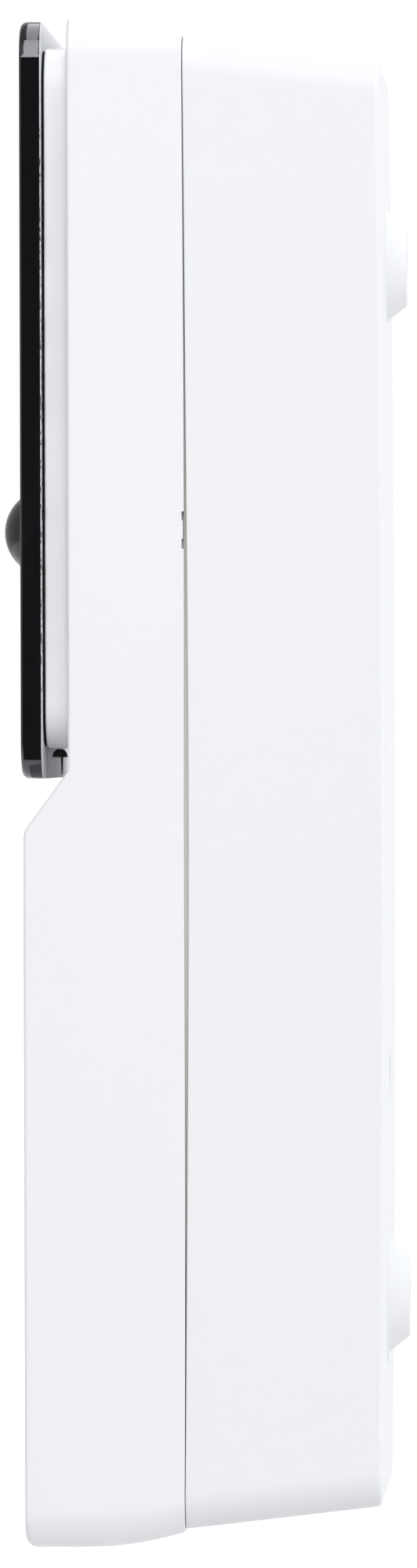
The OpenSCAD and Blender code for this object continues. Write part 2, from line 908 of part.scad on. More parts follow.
module microphone() {
    color("silver")
        at(boot_x, frame_bottom_z)
            block(3.5, 2.7, upper_in_y, upper_in_y + 1.1);
}

module main_board() {
    color("darkgreen")
        difference() {
            slab(main_board_w, main_bottom_z, main_top_z, 2, main_front_y, main_rear_y);
            four(board_post_x, board_post_z)
                rod(pilot_r + 0.2, main_front_y - 1, main_rear_y + 1);
        }
}

module processor_shield() {
    color("silver")
        at(0, processor_z)
            difference() {
                block(24, 20, main_front_y - 2.2, main_front_y);
                block(23.4, 19.4, main_front_y - 1.9, main_front_y + 1);
            }
}

module radio_shield() {
    color("silver")
        at(-10, radio_z)
            difference() {
                block(16, 12, main_front_y - 1.8, main_front_y);
                block(15.4, 11.4, main_front_y - 1.5, main_front_y + 1);
            }
}

// Stamped antenna on two legs
module antenna() {
    color("silver")
        at(11, radio_z + 2) {
            block(18, 5, main_front_y - 3, main_front_y - 2.7);
            for (x = [-8, 0])
                at(x, 2.35)
                    block(1.4, 0.3, main_front_y - 2.7, main_front_y);
        }
}

module board_screws() {
    color("silver")
        four(board_post_x, board_post_z)
            screw(main_rear_y, board_t + 5, screw_head_r, 0.9);
}

module back_plate() {
    plate_w = body_w - 2 * front_wall - 2 * slack;
    color("gainsboro")
        difference() {
            union() {
                slab(plate_w, bottom_z + front_wall + chin_rise + slack, top_z - front_wall - slack,
                    corner_r - front_wall / 2, plate_front_y, plate_y);
                // Lip that locates the front unit inside the rear housing
                difference() {
                    lip(0, plate_y - sliver, rear_edge_y + lip_h);
                    lip(1.4, plate_y - 1, rear_edge_y + lip_h + 1);
                }
            }
            four(plate_post_x, plate_post_z)
                rod(pilot_r + 0.2, plate_front_y - 1, plate_y + lip_h + 2);
            four(plate_post_x, plate_post_z)
                rod(screw_head_r + 0.3, plate_y - 0.9, plate_y + lip_h + 2);
            at(contact_x, power_z)
                for (i = [-1.5:1:1.5])
                    at(i * contact_pitch, 0)
                        rod(rivet_r + 0.02, plate_front_y - 1, plate_y + 1);
            at(reset_x, reset_z) {
                rod(reset_r + 0.06, plate_front_y - 1, plate_y + 1);
                rod(reset_flange_r + 0.1, plate_front_y - 1, plate_front_y + 0.9);
            }
        }
}

// Outline of the locating lip, shrunk by t
module lip(t, y0, y1) {
    gap = slack + t + rear_draft_x * 0.2;
    slab(body_w - 2 * rear_wall - 2 * gap, rear_bottom_z + rear_wall + gap + rear_draft_z * 0.2,
        rear_top_z - rear_wall - gap - rear_draft_z * 0.2, corner_r - rear_wall / 2 - t, y0, y1);
}

module plate_screws() {
    color("silver")
        four(plate_post_x, plate_post_z)
            screw(plate_y - 0.9, plate_t + 5, screw_head_r, 0.8);
}

// Contacts that run through the back plate to the main board
module contact_rivets() {
    color("gold")
        at(contact_x, power_z)
            for (i = [-1.5:1:1.5])
                at(i * contact_pitch, 0)
                    rod(rivet_r, main_rear_y, plate_y);
}

module speaker_mesh() {
    color("dimgray")
        at(0, speaker_z)
            rod(speaker_d / 2 - 1.5, lower_in_y, lower_in_y + mesh_t);
}

module speaker_gasket() {
    color("black")
        at(0, speaker_z)
            ring(speaker_d / 2, speaker_d / 2 - 3, lower_in_y + mesh_t, lower_in_y + mesh_t + 0.8);
}

module speaker_frame() {
    color("black")
        at(0, speaker_z)
            difference() {
                union() {
                    rod(speaker_d / 2, speaker_y, speaker_y + 1.6);
                    cone(speaker_d / 2 - 0.5, 9, speaker_y + 1.5, speaker_y + 3.6);
                }
                cone(speaker_d / 2 - 1.6, 8, speaker_y - sliver, speaker_y + 3.6 + sliver);
            }
}

// Thin diaphragm with a dust cap
module speaker_cone() {
    color("dimgray")
        translate([0, speaker_y, speaker_z])
            rotate([-90, 0, 0])
                rotate_extrude()
                    polygon([[0, 0.2], [3, 0.6], [4.5, 1.4], [9, 0.5], [speaker_d / 2 - 2.4, 0.3],
                        [speaker_d / 2 - 2.4, 0.6], [9, 0.8], [4.5, 1.8], [3, 1], [0, 0.5]]);
}

module speaker_magnet() {
    color("silver")
        at(0, speaker_z)
            rod(8.5, speaker_y + 3.6, speaker_y + 6);
}

// Clear ring pressed into the housing, with a flange behind its wall
module light_ring() {
    color("azure")
        at(0, button_z)
            difference() {
                union() {
                    rod(ring_r, lower_y - 0.1, ring_flange_y);
                    rod(ring_r + 1.4, lower_in_y, ring_flange_y);
                }
                rod(ring_r - ring_w, lower_y - 1, ring_flange_y + 1);
            }
}

module ring_lights() {
    color("lightyellow")
        at(0, button_z)
            for (i = [0:7])
                rotate([0, i * 45 + 22.5, 0])
                    translate([ring_r - ring_w / 2, 0, 0])
                        block(2, 1.2, button_board_y - 0.7, button_board_y);
}

module button_board() {
    color("darkgreen")
        at(0, button_z)
            difference() {
                union() {
                    rod(ring_r + 1, button_board_y, button_board_rear_y);
                    block(2 * button_post_x + 6, 9, button_board_y, button_board_rear_y);
                }
                for (s = [-1, 1])
                    at(s * button_post_x, 0)
                        rod(pilot_r + 0.2, button_board_y - 1, button_board_rear_y + 1);
            }
}

module button_board_screws() {
    color("silver")
        for (s = [-1, 1])
            at(s * button_post_x, button_z)
                screw(button_board_rear_y, board_t + 4, screw_head_r, 1);
}

module board_connector() {
    color("tan")
        at(6, button_z)
            block(4, 12, button_board_rear_y, main_front_y);
}

module switch_body() {
    color("black")
        at(0, button_z)
            difference() {
                block(6, 6, switch_front_y, button_board_y);
                rod(stem_r + fit, switch_front_y - 1, switch_front_y + button_travel + 1);
            }
}

// ---- moving pieces ----

// Round cap with a shallow crown, a retaining flange and a central stem
module bell_button() {
    cap_r = button_d / 2;
    face_y = lower_y - button_proud;
    edge = 0.8;
    color("white")
        at(0, button_z) {
            translate([0, face_y, 0])
                rotate([-90, 0, 0])
                    rotate_extrude()
                        polygon([[0, 0.25], [cap_r * 0.5, 0.1], [cap_r * 0.85, 0], [cap_r - edge, 0.05],
                            [cap_r - edge * 0.25, 0.3], [cap_r, edge],
                            [cap_r, button_flange_y - face_y],
                            [cap_r + 1, button_flange_y - face_y],
                            [cap_r + 1, button_back_y - face_y],
                            [cap_r - 1.6, button_back_y - face_y],
                            [cap_r - 1.6, 2.2], [stem_r + 1.2, 2.2],
                            [stem_r, button_back_y - face_y + stem_l], [0, button_back_y - face_y + stem_l]]);
        }
}

// Return spring between the button and its board
module button_spring() {
    cap_back_y = lower_y - button_proud + 2.2;
    color("silver")
        translate([0, 0, button_z])
            coil(spring_d / 2, spring_wire / 2, cap_back_y + spring_wire / 2,
                button_board_y - spring_wire / 2, 4);
}

module switch_plunger() {
    color("crimson")
        at(0, button_z)
            rod(stem_r, plunger_top_y, switch_front_y + 0.4);
}

// Metal switch whose hole takes the reset button's nose
module reset_switch() {
    color("silver")
        at(reset_x, reset_z)
            difference() {
                block(4.2, 4.2, main_rear_y, main_rear_y + reset_switch_h);
                rod(reset_nose_r + 0.2, main_rear_y + reset_switch_h - 0.6, main_rear_y + 2);
            }
}

// Reset button in the back plate, kept in by its flange
module reset_button() {
    flange_y = plate_front_y + 0.9 - 0.02;
    color("orangered")
        at(reset_x, reset_z) {
            rod(reset_nose_r, main_rear_y + reset_switch_h + 0.02, flange_y - 0.4);
            rod(reset_flange_r, flange_y - 0.5, flange_y);
            rod(reset_r, flange_y - 0.1, plate_y - plate_recess);
        }
}

rear_housing();
cable_grommet();
battery_holder();
battery_cells();
battery_springs();
battery_plates();
battery_leads();
holder_screws();
power_board();
power_board_screws();
terminal_block();
terminal_screws();
contact_block();
contact_pins();
seam_gasket();
front_housing();
panel_frame();
frame_screws();
panel_tape();
panel_backing();
glass_panel();
camera_window();
lens_bezel();
lens_barrel();
front_lens();
camera_holder();
image_sensor();
camera_board();
camera_connector();
sensor_board();
infrared_emitters();
light_sensor();
pir_lens();
pir_sensor();
microphone_boot();
microphone();
main_board();
processor_shield();
radio_shield();
antenna();
board_screws();
back_plate();
plate_screws();
contact_rivets();
speaker_mesh();
speaker_gasket();
speaker_frame();
speaker_cone();
speaker_magnet();
light_ring();
ring_lights();
button_board();
button_board_screws();
board_connector();
switch_body();
bell_button();
button_spring();
switch_plunger();
reset_switch();
reset_button();
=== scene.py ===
# %% [markdown]
# # A video doorbell for an outside wall
# The doorbell is a tapered white rear box screwed to the wall and a white front that clips on to it.
# The front carries a black glass plate with the camera and the motion sensor, a push button in a
# light ring and the holes of a speaker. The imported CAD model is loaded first. It is the fixed frame:
# every surface made below takes its place and its size from the boxes of the CAD nodes.

# %% Load the frame
import json

import bmesh
import bpy
import numpy as np
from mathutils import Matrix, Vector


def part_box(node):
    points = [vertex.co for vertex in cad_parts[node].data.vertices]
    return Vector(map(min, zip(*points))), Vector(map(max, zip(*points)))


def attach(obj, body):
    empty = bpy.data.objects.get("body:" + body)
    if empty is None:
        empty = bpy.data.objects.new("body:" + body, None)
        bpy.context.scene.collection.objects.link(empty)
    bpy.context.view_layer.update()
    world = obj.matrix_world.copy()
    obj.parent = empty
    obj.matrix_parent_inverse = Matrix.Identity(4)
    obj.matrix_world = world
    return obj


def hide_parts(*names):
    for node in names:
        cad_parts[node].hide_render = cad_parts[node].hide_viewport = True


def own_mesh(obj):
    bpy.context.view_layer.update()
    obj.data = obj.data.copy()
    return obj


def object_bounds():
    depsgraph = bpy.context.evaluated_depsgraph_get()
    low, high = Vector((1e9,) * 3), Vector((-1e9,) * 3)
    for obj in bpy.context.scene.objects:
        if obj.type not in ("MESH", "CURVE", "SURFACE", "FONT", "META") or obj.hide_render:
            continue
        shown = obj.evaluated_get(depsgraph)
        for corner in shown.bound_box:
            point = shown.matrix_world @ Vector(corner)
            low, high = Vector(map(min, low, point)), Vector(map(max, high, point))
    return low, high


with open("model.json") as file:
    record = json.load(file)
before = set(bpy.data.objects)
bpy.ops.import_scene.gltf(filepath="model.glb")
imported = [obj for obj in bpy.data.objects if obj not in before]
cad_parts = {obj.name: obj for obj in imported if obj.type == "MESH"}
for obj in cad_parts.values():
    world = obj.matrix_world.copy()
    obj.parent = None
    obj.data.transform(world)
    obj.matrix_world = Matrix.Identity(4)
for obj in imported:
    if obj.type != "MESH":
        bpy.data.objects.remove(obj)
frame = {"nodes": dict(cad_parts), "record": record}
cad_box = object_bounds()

MM = 0.001
node_slot = {part["node"]: part["material_slot"] for part in frame["record"]["subparts"]}


def corners(node):
    """The lower and the upper corner of a node's box, in millimetres."""
    return [np.array(corner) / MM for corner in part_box(node)]


# %% [markdown]
# ## The view
# The object is looked at from its side, a little from behind the plane of its seam, through a long
# lens. A long lens keeps the taper of the housing true. The sensor is fitted to the tall side of the
# picture, so the lens length alone sets how much of the height is seen.

# %% Camera
from mathutils import Quaternion, Vector

lens = bpy.data.cameras.new("side_view")
lens.sensor_fit = "VERTICAL"
lens.sensor_height = 36
lens.sensor_width = 36
lens.lens = 283.8
lens.clip_start = 0.05
lens.clip_end = 20
side_view = bpy.data.objects.new("side_view", lens)
side_view.location = (1.525, 0.0284, 0.0049)
aim = Vector((0.035, -0.0235, -0.0002)) - side_view.location
level = aim.to_track_quat("-Z", "Y")
roll = -0.0029
side_view.rotation_euler = (level @ Quaternion((0, 0, 1), roll)).to_euler()
bpy.context.scene.collection.objects.link(side_view)
bpy.context.scene.camera = side_view
bpy.context.scene.view_settings.view_transform = "Standard"
print("camera", round(aim.length, 3), "m away")

# %% [markdown]
# ## The light
# White plastic on white needs a surround that is bright nearly everywhere, so that its edges melt
# into the ground, and something dark for black glass to mirror. The world is that surround: bright
# behind the object, dimmer in front of it, and bright again below. A dark upright slot behind the
# camera is all that the flat side of the glass mirrors. Two long soft lamps make one arch, a strong
# one high on the camera's side and a weaker one overhead, which polished corners that face upwards
# mirror. A pale floor closes the scene. It lights the object from below, but polished faces mirror
# the surround instead of it.

# %% World
world = bpy.data.worlds.new("white_surround")
bpy.context.scene.world = world
world.use_nodes = True
tree = world.node_tree
tree.nodes.clear()


def add_node(tree, kind, place=(0, 0), **values):
    """A shader node of that kind, with properties and unlinked sockets set by name."""
    node = tree.nodes.new(kind)
    node.location = place
    for key, value in values.items():
        if hasattr(node, key):
            setattr(node, key, value)
        else:
            node.inputs[key.replace("_", " ")].default_value = value
    return node


def math(tree, operation, a, b=0.0, c=0.0, clamp=False):
    """One Math node; a, b and c are numbers or sockets."""
    node = add_node(tree, "ShaderNodeMath", operation=operation, use_clamp=clamp)
    for socket, value in zip(node.inputs, (a, b, c)):
        if isinstance(value, (int, float)):
            socket.default_value = value
        else:
            tree.links.new(value, socket)
    return node.outputs[0]


def ramp(tree, value, low, high, to_low=0.0, to_high=1.0):
    """Smooth step of value from low to high, put out between to_low and to_high."""
    node = add_node(tree, "ShaderNodeMapRange", interpolation_type="SMOOTHSTEP")
    node.inputs["From Min"].default_value = low
    node.inputs["From Max"].default_value = high
    node.inputs["To Min"].default_value = to_low
    node.inputs["To Max"].default_value = to_high
    tree.links.new(value, node.inputs["Value"])
    return node.outputs[0]


direction = add_node(tree, "ShaderNodeTexCoord")
split = add_node(tree, "ShaderNodeSeparateXYZ")
tree.links.new(direction.outputs["Generated"], split.inputs[0])
x, y, z = (split.outputs[axis] for axis in "XYZ")
room = math(tree, "MULTIPLY", ramp(tree, y, -0.6, 0.6, 0.62, 1.46),
            ramp(tree, z, 0.45, 0.9, 1, 0.45))
below = ramp(tree, z, -0.35, -0.2, 1, 0)
room = math(tree, "MULTIPLY_ADD", below, math(tree, "SUBTRACT", 1.3, room), room)
sides = ramp(tree, math(tree, "ABSOLUTE", y), 0.25, 0.4, 1, 0)
upright = math(tree, "MULTIPLY", ramp(tree, z, 0.1, 0.17, 1, 0), ramp(tree, z, -0.9, -0.86))
slot = math(tree, "MULTIPLY", math(tree, "MULTIPLY", sides, upright), ramp(tree, x, 0.1, 0.3))
surround = add_node(tree, "ShaderNodeBackground", Color=(0.975, 0.985, 1, 1))
tree.links.new(math(tree, "MULTIPLY", room, math(tree, "MULTIPLY_ADD", slot, -0.95, 1.0)),
               surround.inputs["Strength"])
ground = add_node(tree, "ShaderNodeBackground", Color=(1, 1, 1, 1), Strength=1.1)
seen = add_node(tree, "ShaderNodeLightPath")
choose = add_node(tree, "ShaderNodeMixShader")
world_out = add_node(tree, "ShaderNodeOutputWorld")
tree.links.new(seen.outputs["Is Camera Ray"], choose.inputs[0])
tree.links.new(surround.outputs[0], choose.inputs[1])
tree.links.new(ground.outputs[0], choose.inputs[2])
tree.links.new(choose.outputs[0], world_out.inputs["Surface"])
print("world:", len(tree.nodes), "nodes")


# %% Lamps and floor
def soft_lamp(name, middle, towards, size, radiance):
    """A rectangular lamp at middle that faces towards. Its power is radiance x pi x its area."""
    data = bpy.data.lights.new(name, "AREA")
    data.shape = "RECTANGLE"
    data.size, data.size_y = size
    data.energy = radiance * np.pi * size[0] * size[1]
    lamp = bpy.data.objects.new(name, data)
    lamp.location = middle
    facing = Vector(towards) - Vector(middle)
    lamp.rotation_euler = facing.to_track_quat("-Z", "Y").to_euler()
    lamp.visible_camera = False
    bpy.context.scene.collection.objects.link(lamp)
    return lamp


def arch_lamp(name, low, high, width, radiance, reach=1.6):
    """Soft lamp on an arch over the X axis, between two elevations in degrees."""
    middle, spread = np.radians((low + high) / 2), np.radians((high - low) / 2)
    place = (reach * np.cos(middle), 0, reach * np.sin(middle))
    return soft_lamp(name, place, (0, 0, 0), (width, 2 * reach * np.tan(spread)), radiance)


key = arch_lamp("key_lamp", 10, 60, 0.48, 4.0)
overhead = arch_lamp("top_lamp", 60, 136, 0.36, 2.7)
floor_drop = 0.125
floor_z = float(cad_box[0][2]) - floor_drop
floor_half = 1.5
floor_mesh = bpy.data.meshes.new("floor")
floor_mesh.from_pydata([(x * floor_half, y * floor_half, floor_z)
                        for x, y in ((-1, -1), (1, -1), (1, 1), (-1, 1))], [], [(0, 1, 2, 3)])
floor = bpy.data.objects.new("floor", floor_mesh)
bpy.context.scene.collection.objects.link(floor)
floor.visible_glossy = False
print("lamps", round(key.data.energy, 1), "and", round(overhead.data.energy, 1), "W")

# %% [markdown]
# ## Effects that several materials share
# Moulded plastic is never one flat colour. The mould's spark-eroded texture gives a fine grain, the
# wall sinks and swells a little as it cools, and handling leaves soft marks. Each of these effects is
# a node group, built once and placed in each material with its own values. The groups read Object
# coordinates, which are the frame's own metres, so a scale of 4000 is a grain of a quarter of a
# millimetre on every piece.


# %% Group builder
def object_place(tree):
    """The Object coordinates of the surface."""
    return add_node(tree, "ShaderNodeTexCoord").outputs["Object"]


def place_axes(tree):
    """The Object coordinates, and their three axes one by one."""
    place = object_place(tree)
    axes = add_node(tree, "ShaderNodeSeparateXYZ")
    tree.links.new(place, axes.inputs[0])
    return place, axes.outputs


def new_group(name, inputs, outputs):
    """An empty shader group with float inputs (name: start value) and named float outputs."""
    group = bpy.data.node_groups.new(name, "ShaderNodeTree")
    for label, value in inputs.items():
        socket = group.interface.new_socket(label, in_out="INPUT", socket_type="NodeSocketFloat")
        socket.default_value = value
    for label in outputs:
        group.interface.new_socket(label, in_out="OUTPUT", socket_type="NodeSocketFloat")
    return group, add_node(group, "NodeGroupInput"), add_node(group, "NodeGroupOutput")


def noise(tree, vector, scale, detail=2.0, roughness=0.5, stretch=None):
    """Noise on the given coordinates; scale is a number or a socket, stretch squeezes the axes."""
    if stretch is not None:
        mapping = add_node(tree, "ShaderNodeMapping")
        mapping.inputs["Scale"].default_value = stretch
        tree.links.new(vector, mapping.inputs["Vector"])
        vector = mapping.outputs["Vector"]
    node = add_node(tree, "ShaderNodeTexNoise", Detail=detail, Roughness=roughness)
    tree.links.new(vector, node.inputs["Vector"])
    if isinstance(scale, (int, float)):
        node.inputs["Scale"].default_value = scale
    else:
        tree.links.new(scale, node.inputs["Scale"])
    return node.outputs["Fac"]


# %% Moulded surface
moulded, gin, gout = new_group("moulded_surface", {"Grain": 4000, "Sink": 55},
                               ["Height", "Mottle", "Sheen"])
here = object_place(moulded)
grain = noise(moulded, here, gin.outputs["Grain"], 3, 0.55)
sink = noise(moulded, here, gin.outputs["Sink"], 2, 0.4)
flow = noise(moulded, here, 18, 3, 0.5, (1, 1, 0.35))
moulded.links.new(math(moulded, "MULTIPLY_ADD", sink, 6.0, grain), gout.inputs["Height"])
moulded.links.new(math(moulded, "MULTIPLY_ADD", flow, 0.6, math(moulded, "MULTIPLY", grain, 0.4)),
                  gout.inputs["Mottle"])
moulded.links.new(math(moulded, "MULTIPLY_ADD", sink, 0.5, math(moulded, "MULTIPLY", grain, 0.5)),
                  gout.inputs["Sheen"])

# %% Handling marks
marks, gin, gout = new_group("handling_marks", {"Amount": 0.3}, ["Mask", "Height"])
here = object_place(marks)
wipe = ramp(marks, noise(marks, here, 70, 4, 0.6, (1, 1, 0.3)), 0.5, 0.75)
specks = ramp(marks, noise(marks, here, 2600, 1, 0.5), 0.74, 0.8)
both = math(marks, "MAXIMUM", wipe, specks)
marks.links.new(math(marks, "MULTIPLY", both, gin.outputs["Amount"]), gout.inputs["Mask"])
marks.links.new(specks, gout.inputs["Height"])

# %% Drawn and plated metal
drawn, gin, gout = new_group("drawn_metal", {"Lines": 900}, ["Height", "Mottle"])
here = object_place(drawn)
lines = noise(drawn, here, gin.outputs["Lines"], 3, 0.6, (1, 1, 9))
cloud = noise(drawn, here, 260, 3, 0.55)
drawn.links.new(lines, gout.inputs["Height"])
drawn.links.new(math(drawn, "MULTIPLY_ADD", lines, 0.45, math(drawn, "MULTIPLY", cloud, 0.55)),
                gout.inputs["Mottle"])
print("groups:", [g.name for g in bpy.data.node_groups])

# %% [markdown]
# ## From groups to materials
# A material is the Principled shader with one of the groups in front of it. What is the same all
# over the piece, such as the coat or the index of refraction, is set on the shader itself. What
# changes over the surface runs from the group: the mottle tints the colour, the sheen moves the
# roughness, and the height goes through a Bump node to the normal.


# %% Material builder
def tint(tree, factor, dark, light):
    """Colour between dark and light by factor."""
    node = add_node(tree, "ShaderNodeMix", data_type="RGBA")
    tree.links.new(factor, node.inputs["Factor"])
    node.inputs[6].default_value = (*dark, 1)
    node.inputs[7].default_value = (*light, 1)
    return node.outputs[2]


def paint(tree, shader, factor, dark, light):
    """The shader's colour, between dark and light by factor."""
    tree.links.new(tint(tree, factor, dark, light), shader.inputs["Base Color"])


def gloss(tree, shader, value, *limits):
    """The shader's roughness: a ramp of value, with the limits that ramp() takes."""
    tree.links.new(ramp(tree, value, *limits), shader.inputs["Roughness"])


def start_material(name, **values):
    """A material with a Principled shader whose plain sockets are set by name."""
    material = bpy.data.materials.new(name)
    material.use_nodes = True
    tree = material.node_tree
    shader = tree.nodes["Principled BSDF"]
    for key, value in values.items():
        shader.inputs[key.replace("_", " ")].default_value = value
    return material, tree, shader


def place_group(tree, group, **values):
    """The group as a node in this tree, with its inputs set by name."""
    node = add_node(tree, "ShaderNodeGroup", node_tree=group)
    for key, value in values.items():
        node.inputs[key.replace("_", " ")].default_value = value
    return node.outputs


def bump(tree, shader, height, depth_mm, strength=1.0):
    """Height from 0 to 1 as a relief of depth_mm that feeds the shader's normal."""
    node = add_node(tree, "ShaderNodeBump", Strength=strength, Distance=depth_mm * MM)
    tree.links.new(height, node.inputs["Height"])
    tree.links.new(node.outputs["Normal"], shader.inputs["Normal"])


def plastic(name, dark, light, rough, grain=4000, depth=0.004, sink=55, spread=0.06, **values):
    """Moulded plastic: colour between dark and light, roughness about rough, relief in mm."""
    material, tree, shader = start_material(name, **values)
    surface = place_group(tree, moulded, Grain=grain, Sink=sink)
    paint(tree, shader, surface["Mottle"], dark, light)
    gloss(tree, shader, surface["Sheen"], 0.3, 0.7, rough - spread, rough + spread)
    bump(tree, shader, surface["Height"], depth)
    return material


def metal(name, dark, light, rough, lines=900, depth=0.002, **values):
    """Metal with drawn lines and a cloudy polish."""
    material, tree, shader = start_material(name, Metallic=1.0, **values)
    surface = place_group(tree, drawn, Lines=lines)
    paint(tree, shader, surface["Mottle"], dark, light)
    gloss(tree, shader, surface["Mottle"], 0.3, 0.7, rough - 0.06, rough + 0.1)
    bump(tree, shader, surface["Height"], depth)
    return material


# %% [markdown]
# ## White, black and grey plastics
# The front is a smooth, satin white. The rear box has a finer, duller mould texture, and its colour is
# a touch darker as painted shade, for its sides that lean away from the light. The dark sensor dome is
# polished, and the rubber parts are matt.

# %% Plastics
# name: darker and lighter colour, roughness, grain, relief in mm
plastics = {
    "white_front": ((0.79, 0.797, 0.81), (0.815, 0.82, 0.832), 0.42, 3200, 0.0025),
    # white_rear: its darker colour is painted shade, for the drafted sides that turn a little away
    # from the light.
    "white_rear": ((0.765, 0.772, 0.785), (0.79, 0.797, 0.81), 0.55, 4500, 0.004),
    # white_frame: its lighter colour is painted light, against the shade that falls on the frame in
    # its recess behind the glass.
    "white_frame": ((0.88, 0.885, 0.9), (0.9, 0.905, 0.918), 0.38, 3000, 0.002),
    "button_white": ((0.78, 0.785, 0.795), (0.81, 0.815, 0.82), 0.36, 5000, 0.003),
    "black_plastic": ((0.012, 0.012, 0.013), (0.022, 0.022, 0.024), 0.45, 4200, 0.005),
    "grey_plastic": ((0.5, 0.51, 0.52), (0.54, 0.55, 0.56), 0.5, 3600, 0.005),
    "gasket_rubber": ((0.5, 0.495, 0.46), (0.57, 0.565, 0.53), 0.8, 2500, 0.012),
    "black_rubber": ((0.015, 0.015, 0.015), (0.03, 0.03, 0.03), 0.75, 3000, 0.01),
    "connector_tan": ((0.5, 0.4, 0.25), (0.6, 0.49, 0.32), 0.5, 3500, 0.006),
    "terminal_green": ((0.02, 0.17, 0.07), (0.035, 0.23, 0.1), 0.42, 3600, 0.006),
    "reset_orange": ((0.72, 0.18, 0.03), (0.8, 0.24, 0.05), 0.4, 4000, 0.004),
}
finish = {name: plastic(name, *values) for name, values in plastics.items()}
finish["emitter"] = plastic("emitter", (0.012, 0.01, 0.02), (0.025, 0.02, 0.045), 0.12, 2000, 0.001,
                            Coat_Weight=0.6)
print("plastics:", len(finish))

# %% [markdown]
# ## Metals
# Screws, springs and shields are plated steel with fine drawn lines; the contacts are gold-plated.

# %% Metals
finish["steel"] = metal("steel", (0.46, 0.465, 0.47), (0.66, 0.665, 0.67), 0.26)
finish["gold_contact"] = metal("gold_contact", (0.72, 0.5, 0.18), (0.95, 0.72, 0.32), 0.22, 1400)

# %% [markdown]
# ## Glass
# The plate's black lies behind polished glass, so it is a black base under a clear, almost mirror
# smooth surface, with a few soft wipes and specks of dust. The camera's window is clear, and the
# front lens shows the violet of its coating where it is seen at an angle, which Layer Weight gives.

# %% Black glass, window and lens
material, tree, shader = start_material("black_glass", IOR=1.75, Specular_Tint=(0.92, 0.94, 1, 1))
touch = place_group(tree, marks, Amount=0.5)
paint(tree, shader, touch["Mask"], (0.004, 0.0038, 0.005), (0.012, 0.0115, 0.014))
gloss(tree, shader, touch["Mask"], 0, 1, 0.035, 0.2)
bump(tree, shader, touch["Height"], 0.001, 0.4)
finish["black_glass"] = material

material, tree, shader = start_material("black_dome", IOR=1.53)
touch = place_group(tree, marks, Amount=0.4)
surface = place_group(tree, moulded, Grain=3800, Sink=200)
paint(tree, shader, surface["Mottle"], (0.006, 0.006, 0.007), (0.01, 0.01, 0.0115))
gloss(tree, shader, touch["Mask"], 0, 1, 0.09, 0.2)
bump(tree, shader, surface["Height"], 0.0004)
finish["black_dome"] = material

material, tree, shader = start_material("clear_glass", IOR=1.5, Transmission_Weight=1.0)
touch = place_group(tree, marks, Amount=0.35)
paint(tree, shader, touch["Mask"], (0.9, 0.92, 0.94), (0.8, 0.82, 0.84))
gloss(tree, shader, touch["Mask"], 0, 1, 0.0, 0.12)
finish["clear_glass"] = material

material, tree, shader = start_material("lens_glass", IOR=1.6, Roughness=0.02, Coat_Weight=1.0)
edge = add_node(tree, "ShaderNodeLayerWeight", Blend=0.45)
swirl = noise(tree, object_place(tree), 300, 2, 0.5)
facing = math(tree, "MULTIPLY_ADD", swirl, 0.25, edge.outputs["Facing"])
paint(tree, shader, facing, (0.006, 0.008, 0.03), (0.09, 0.03, 0.2))
finish["lens_glass"] = material
print("glasses: 4")

# %% [markdown]
# ## Boards, cells and the small finishes
# A circuit board is a green solder mask over copper tracks: the tracks are a grid of thin lines that
# noise switches on and off, lighter than the mask and standing a few hundredths of a millimetre
# proud. A cell has a printed sleeve that shrinks in fine rings. The speaker's cloth is a weave of two
# sine waves, and its cone is pressed paper.

# %% Circuit board
material, tree, shader = start_material("circuit_board", Coat_Weight=0.25, Coat_Roughness=0.2)
place, axes = place_axes(tree)
across = math(tree, "ABSOLUTE", math(tree, "SINE", math(tree, "MULTIPLY", axes["X"], 2600.0)))
along = math(tree, "ABSOLUTE", math(tree, "SINE", math(tree, "MULTIPLY", axes["Z"], 2600.0)))
zone = noise(tree, place, 150, 1, 0.5)
rows = math(tree, "MULTIPLY", ramp(tree, across, 0.86, 0.93), ramp(tree, zone, 0.5, 0.52))
columns = math(tree, "MULTIPLY", ramp(tree, along, 0.86, 0.93), ramp(tree, zone, 0.46, 0.44))
tracks = math(tree, "MAXIMUM", rows, columns)
weave = noise(tree, place, 5200, 2, 0.5)
shade = math(tree, "MULTIPLY_ADD", tracks, 0.7, math(tree, "MULTIPLY", weave, 0.3))
paint(tree, shader, shade, (0.004, 0.04, 0.018), (0.02, 0.13, 0.05))
gloss(tree, shader, weave, 0.3, 0.7, 0.3, 0.42)
bump(tree, shader, shade, 0.03)
finish["circuit_board"] = material

# %% Cell sleeve and foam tape
material, tree, shader = start_material("cell_wrap", Coat_Weight=0.5, Coat_Roughness=0.15)
place, axes = place_axes(tree)
band_z = 0.035
from_band = math(tree, "ABSOLUTE", math(tree, "SUBTRACT", axes["Z"], band_z))
band = ramp(tree, from_band, 0.0045, 0.0048)
rings = noise(tree, place, 220, 3, 0.6, (1, 1, 6))
paint(tree, shader, band, (0.7, 0.72, 0.74), (0.02, 0.13, 0.34))
gloss(tree, shader, rings, 0.3, 0.7, 0.24, 0.4)
bump(tree, shader, rings, 0.03)
finish["cell_wrap"] = material
finish["tape"] = plastic("tape", (0.002, 0.002, 0.002), (0.008, 0.008, 0.008), 0.9, 2400, 0.03,
                         Specular_IOR_Level=0.2)
finish["speaker_paper"] = plastic("speaker_paper", (0.03, 0.029, 0.027), (0.075, 0.072, 0.066), 0.85,
                                  1500, 0.03, 300)

# %% White print
material, tree, shader = start_material("white_print")
place, axes = place_axes(tree)
flakes = ramp(tree, noise(tree, place, 1500, 2, 0.6), 0.42, 0.5)
